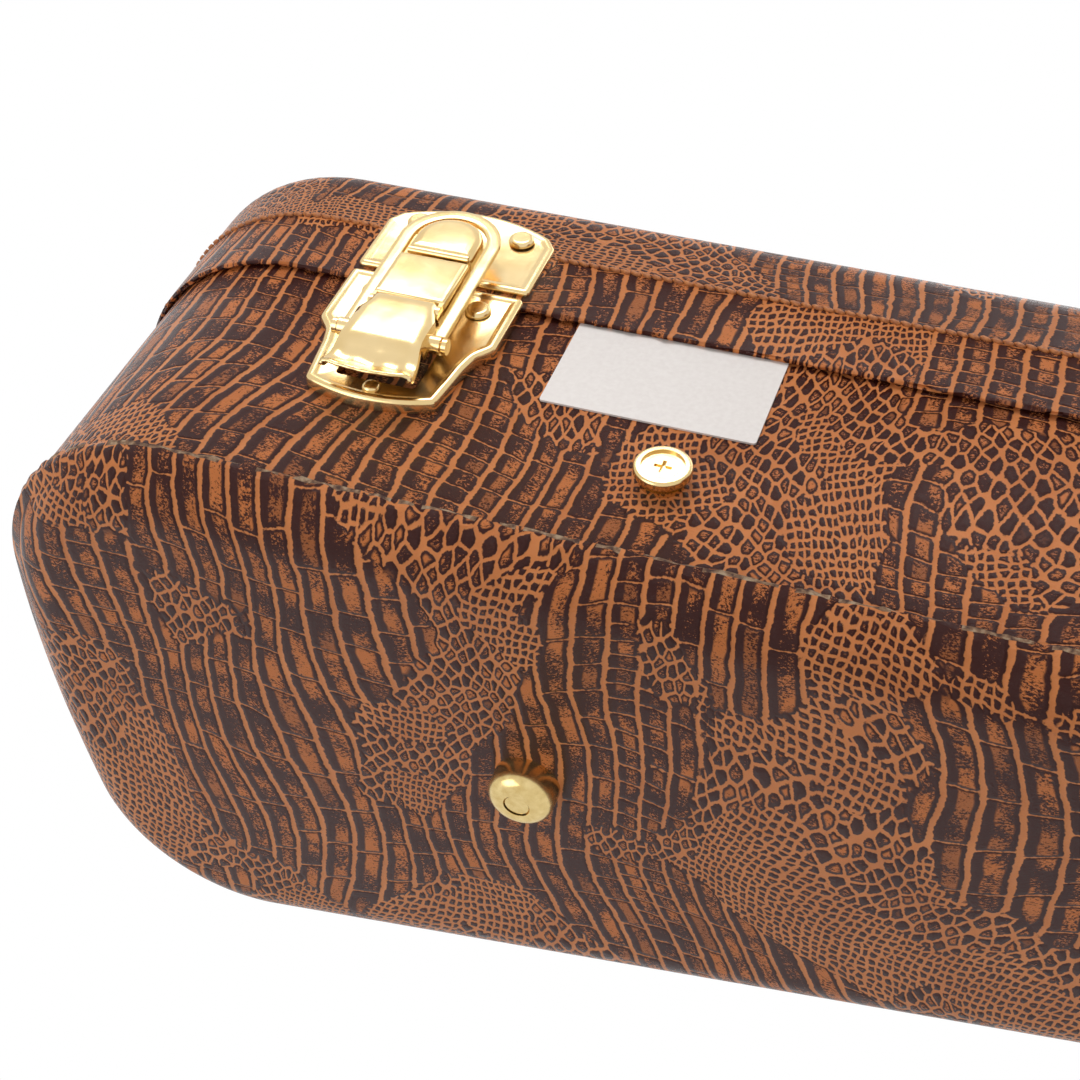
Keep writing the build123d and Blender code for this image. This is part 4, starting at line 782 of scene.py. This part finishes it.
points, faces = [], []
seam_outline = plan_outline(STITCH_SPACING)
for (point, normal, _), (ahead, _, _) in zip(seam_outline, seam_outline[1:] + seam_outline[:1]):
    middle = (point + ahead) / 2 + PLAN_SHIFT
    outward = Vector((*normal, 0))
    at = Vector((*middle, LID_SEAM_Z)) + outward * STITCH_PROUD
    if not by_catch(at):
        along = Vector((*(ahead - point).normalized(), 0))
        stitch(points, faces, at, along, outward, 0.0027, 0.00062)
seam_stitches = new_piece("lid_seam_stitches", points, faces, 80)
dress(seam_stitches, thread, "lid", "lid_seam_bead")


# Linings, pads, cradle and box inside: wine-red plush with a short pile over foam and board. The
# cradle is foam, swollen a little under its cover. The rest are drawn as rounded, closed forms.
plush, tree, shader = new_material("plush_short_pile")
place = add_node("TexCoord", {}).outputs["Object"]
pile = add_node("TexNoise", {"Vector": place, "Scale": 900, "Detail": 3})
nap = add_node("TexNoise", {"Vector": place, "Scale": 25, "Detail": 3})
pile_and_nap = add_node("Mix", {"Factor": 0.5, "A": pile, "B": nap})
set_inputs(shader, {
    "Base Color": add_node("ValToRGB", [pile_and_nap], [(0.35, "#4A0F1A"), (0.65, "#7A1F2E")]),
    "Roughness": 0.9,
    "Sheen Weight": 0.5,
    "Sheen Roughness": 0.4,
    "Normal": raised(pile, 0.0004, strength=0.7),
})


def soft_piece(piece, body, node):
    """Finish a soft piece: its cover of plush, and the CAD solid it stands for."""
    dress(piece, plush, body, node)


def swollen(node, name, voxel, shrink, cap):
    """A foam piece under plush: the CAD solid a little shrunk, then swollen as cloth by a cap."""
    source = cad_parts[node]
    piece = bpy.data.objects.new(name, source.data.copy())
    piece.data.transform(source.matrix_world)
    bpy.context.collection.objects.link(piece)
    bpy.ops.object.select_all(action="DESELECT")
    bpy.context.view_layer.objects.active = piece
    piece.select_set(True)
    shape = bmesh.new()
    shape.from_mesh(piece.data)
    bmesh.ops.remove_doubles(shape, verts=shape.verts, dist=0.00001)
    shape.to_mesh(piece.data)
    shape.free()
    remesh = piece.modifiers.new("even", "REMESH")
    remesh.mode = "VOXEL"
    remesh.voxel_size = voxel
    bpy.ops.object.modifier_apply(modifier="even")
    start = [v.co - v.normal * shrink for v in piece.data.vertices]
    for vertex, at in zip(piece.data.vertices, start):
        vertex.co = at
    moments = 20
    cloth = piece.modifiers.new("swell", "CLOTH")
    cloth.settings.use_pressure = True
    cloth.settings.uniform_pressure_force = 4
    cloth.settings.effector_weights.gravity = 0
    cloth.point_cache.frame_end = moments
    for moment in range(1, moments + 1):
        bpy.context.scene.frame_set(moment)
    settled = piece.evaluated_get(bpy.context.evaluated_depsgraph_get())
    ends = [v.co.copy() for v in settled.data.vertices]
    piece.modifiers.remove(cloth)
    bpy.context.scene.frame_set(1)
    for vertex, at, end in zip(piece.data.vertices, start, ends):
        move = end - at
        if move.length > cap:
            move = move.normalized() * cap
        vertex.co = at + move
    bpy.ops.object.shade_smooth()
    finer = piece.modifiers.new("finer", "SUBSURF")
    finer.levels = finer.render_levels = 1
    return piece


def foam_sheet(name, edge, hidden, hidden_radius, free, pressed, body, node):
    """A foam sheet glued to a panel: round along its hidden edge, its free face pressed down at
    the border and crowned to the middle. hidden and free are the heights of its two faces."""
    away = 1 if free > hidden else -1
    turn = [radians(a) for a in range(0, 91, 18)]
    profile = [(edge + hidden_radius * (1 - sin(a)), hidden + away * hidden_radius * (1 - cos(a)))
               for a in turn]
    low_border = free - away * pressed
    profile += [(edge + 0.0001, low_border - away * 0.0012),
                (edge + 0.0006, low_border - away * 0.0004)]
    for across, share in ((0.0016, 0), (0.004, 0.3), (0.008, 0.6), (0.014, 0.85), (0.024, 1)):
        profile.append((edge + across, low_border + away * share * (pressed + 0.0001)))
    soft_piece(sheet_round_plan(name, profile, along_wall, capped=True), body, node)


foam_sheet("floor_pad_foam", edge=0.0068, hidden=0.0121, hidden_radius=0.0075, free=0.0201,
           pressed=0.0012, body="case_body", node="floor_pad")
foam_sheet("lid_pad_foam", edge=0.0052, hidden=0.11905, hidden_radius=0.0048, free=0.11105,
           pressed=0.0003, body="lid", node="lid_pad")
cradle = swollen("neck_cradle", "neck_cradle_foam", voxel=0.004, shrink=0.0016, cap=0.0018)
soft_piece(cradle, "case_body", "neck_cradle")


def lining(name, outer, thickness, low, high, body, node):
    """A plush strip glued round a wall, its free edges rolled over."""
    half = thickness / 2
    middle = (low + high) / 2
    roll = [radians(a) for a in range(-90, 91, 30)]
    profile = [(outer + half - half * sin(a), high - half + half * cos(a)) for a in roll]
    profile.append((outer, middle))
    profile += [(outer + half + half * sin(a), low + half - half * cos(a)) for a in roll]
    profile += [(outer + thickness, middle), profile[0]]
    soft_piece(sheet_round_plan(name, profile, along_wall), body, node)


lining("body_wall_plush", 0.0064, 0.0018, 0.0204, 0.083, "case_body", "side_wall_lining")
lining("lid_wall_plush", 0.0048, 0.0018, 0.0834, 0.11075, "lid", "lid_wall_lining")
lining("rim_strip_plush", 0.0082, 0.0020, 0.071, 0.090, "case_body", "body_rim_strip")

# The accessory box: a board tray covered in plush, with a padded flap and a woven pull tab, all
# in millimetres
FLOOR_TOP = 20.4
BOX_X = -109


def tray_corners(length, inset, radius):
    """Plan corners of a block across the neck part, between its tapering walls."""
    corners = []
    for x, side in ((-1, -1), (1, -1), (1, 1), (-1, 1)):
        along = BOX_X + x * length / 2
        half_width = -HEAD_CORNER.y * 1000 - (along - HEAD_CORNER.x * 1000) * tan(NECK_TAPER)
        corners.append((along, side * (half_width - inset / cos(NECK_TAPER)), radius))
    return corners


def on_floor(shape, name):
    """Finish a piece made in plan millimetres."""
    return piece_from(shape, name, lambda at: at / 1000 + Vector((*PLAN_SHIFT, 0)), 50)


shape = bmesh.new()
tray_steps = [(0.3, 0.7), (0.8, 0.4), (1.4, 0.1), (1.4, -0.1), (0.8, -0.4), (0.3, -0.7),
              (0.05, -9), (0.05, -8.2), (1.2, -0.5), (6, 0.5)]
stamping(shape, tray_corners(62, 8.8, 2), FLOOR_TOP, 22.8, tray_steps)
soft_piece(on_floor(shape, "accessory_tray_plush"), "case_body", "accessory_box")
shape = bmesh.new()
flap_steps = [(0.25, 0.6), (0.7, 0.6), (1.6, 0.45), (1.2, 0.05), (0.5, -0.3), (0.5, 0.3),
              (3, 0.35), (8, 0.25)]
stamping(shape, tray_corners(59.6, 13.1, 2), 44.8, 0.9, flap_steps)
soft_piece(on_floor(shape, "accessory_flap_plush"), "accessory_lid", "accessory_box_lid")

tape, tree, shader = new_material("woven_tape_dark_red")
place = add_node("TexCoord", {}).outputs["Object"]
ribs = {"Vector": place, "Scale": 420, "Distortion": 0.6}
weave = add_node("TexWave", ribs, bands_direction="Y")
set_inputs(shader, {
    "Base Color": add_node("ValToRGB", [weave], [(0.2, "#2C070D"), (0.8, "#561320")]),
    "Roughness": 0.7,
    "Normal": raised(weave, 0.0002),
})
shape = bmesh.new()
tab_corners = [(-139, -6, 3.5), (-122, -6, 3.5), (-122, 6, 3.5), (-139, 6, 3.5)]
stamping(shape, tab_corners, 48.2, 0.7, [(0.2, 0.3), (0.3, 0.1)])
tab = on_floor(shape, "accessory_pull_tab")
dress(tab, tape, "accessory_lid", "accessory_lid_tab")


# The handle's grip: brown leather over the rod, full in the middle and drawn in at its ends,
# with a row of stitches along both faces near the bottom edge.
grip_leather, tree, shader = new_material("bridle_leather_brown")
place = add_node("TexCoord", {}).outputs["Object"]
pores = add_node("TexVoronoi", {"Vector": place, "Scale": 900})
dye = add_node("TexNoise", {"Vector": place, "Scale": 60, "Detail": 4})
set_inputs(shader, {
    "Base Color": add_node("ValToRGB", [dye], [(0.3, "#331A15"), (0.7, "#4E2A1E")]),
    "Roughness": 0.42,
    "Normal": raised(pores, 0.00012),
})
GRIP_OUT = 11
GRIP_UP = -52
SIDES = 36
grip_place = front_place(0.1375)
half_stations = [6, 14, 22, 28, 32, 35, 36.8, 37.6, 38]
stations = [-u for u in half_stations[::-1]] + half_stations
points = []
for u in stations:
    end = max(0, abs(u) - 28) / 10
    size = (1 - 0.16 * end ** 2) * (1 if abs(u) < 37 else 1 - 0.22 * (abs(u) - 37))
    belly = 1 - 0.05 * cos(pi * u / 38)
    for k in range(SIDES):
        c, s = [copysign(abs(turn) ** 0.62, turn)
                for turn in (cos(2 * pi * k / SIDES), sin(2 * pi * k / SIDES))]
        points.append(on_wall(grip_place, u, GRIP_UP + 8.8 * size * belly * s,
                              GRIP_OUT + 7.9 * size * c))
rings = numbered_rings(SIDES, len(stations))
faces = between(rings) + [rings[0], rings[-1]]
grip = new_piece("handle_grip_leather", points, faces, 50)
dress(grip, grip_leather, "handle", "handle_grip")
points, faces = [], []
_, along, outward = grip_place
for side in (-1, 1):
    for k in range(17):
        middle = on_wall(grip_place, -30 + 3.75 * k, GRIP_UP - 4.6, GRIP_OUT + side * 7.75)
        stitch(points, faces, middle, along, outward * side, 0.0029, 0.00045)
grip_stitches = new_piece("handle_grip_stitches", points, faces, 80)
dress(grip_stitches, thread, "handle")


# The floor, the soft boxes and the camera of the photograph. The camera looks up at the
# bottom from under the floor, so the floor shows only from above and lets light through.
FLOOR_SIZE = 14
UNDER_FEET = -0.0002
floor_material, tree, shader = new_material("studio_floor_paper")
set_inputs(shader, {"Base Color": linear("#F2F0EC"), "Roughness": 0.9})
ray = add_node("LightPath", {}).outputs
behind = add_node("NewGeometry", {}).outputs["Backfacing"]
from_above = add_node("Math", [1.0, behind], operation="SUBTRACT")
seen = add_node("Math", [ray["Is Camera Ray"], from_above], operation="MULTIPLY")
floor_mix = add_node("MixShader", [seen, add_node("BsdfTransparent", {}), shader])
set_inputs(tree.nodes["Material Output"], {"Surface": floor_mix})
bpy.ops.mesh.primitive_plane_add(size=FLOOR_SIZE, location=(0, 0, UNDER_FEET))
floor = bpy.context.active_object
floor.name = "studio_floor"
floor.data.materials.append(floor_material)

# The surroundings give less light than they show to the camera and in gloss
world = bpy.data.worlds.new("studio")
bpy.context.scene.world = world
world.use_nodes = True
tree = world.node_tree
ray = add_node("LightPath", {}).outputs
direct = add_node("Math", [ray["Is Camera Ray"], ray["Is Transmission Ray"]], operation="ADD")
shown = add_node("Math", [direct, ray["Is Glossy Ray"]], operation="ADD")
strength = add_node("MapRange", [shown, 0, 1, 0.45, 1.0])
set_inputs(tree.nodes["Background"], {"Color": (1, 1, 1, 1), "Strength": strength})

neck_end = Vector((-0.25, -0.05, 0.06))
for name, place, power, size in (
    ("key_softbox", (-0.45, -1.2, 0.8), 9, 0.6),
    ("low_softbox", (-0.9, -0.6, -0.9), 5.5, 0.9),
    ("top_softbox", (0.3, 0.2, 1.6), 8, 1.2),
):
    bpy.ops.object.light_add(type="AREA", location=place)
    lamp = bpy.context.active_object
    lamp.name = name
    lamp.data.size = size
    lamp.data.energy = power
    lamp.rotation_euler = (neck_end - Vector(place)).to_track_quat("-Z", "Y").to_euler()

camera_data = bpy.data.cameras.new("photo_camera")
camera_data.lens = 65.11
camera_data.sensor_width = 36
camera_data.clip_start = 0.01
camera = bpy.data.objects.new("photo_camera", camera_data)
bpy.context.collection.objects.link(camera)
right = Vector((0.93779, 0.10457, 0.33107))
up = Vector((-0.14832, -0.74148, 0.65437))
forward = Vector((-0.31391, 0.66277, 0.67985))
eye = Vector((-0.1260, -0.30874, -0.23512)) + Vector((*PLAN_SHIFT, 0))
turned = Matrix((right, up, -forward)).transposed()
camera.matrix_world = Matrix.Translation(eye) @ turned.to_4x4()
bpy.context.scene.camera = camera
bpy.context.scene.view_settings.view_transform = "Standard"
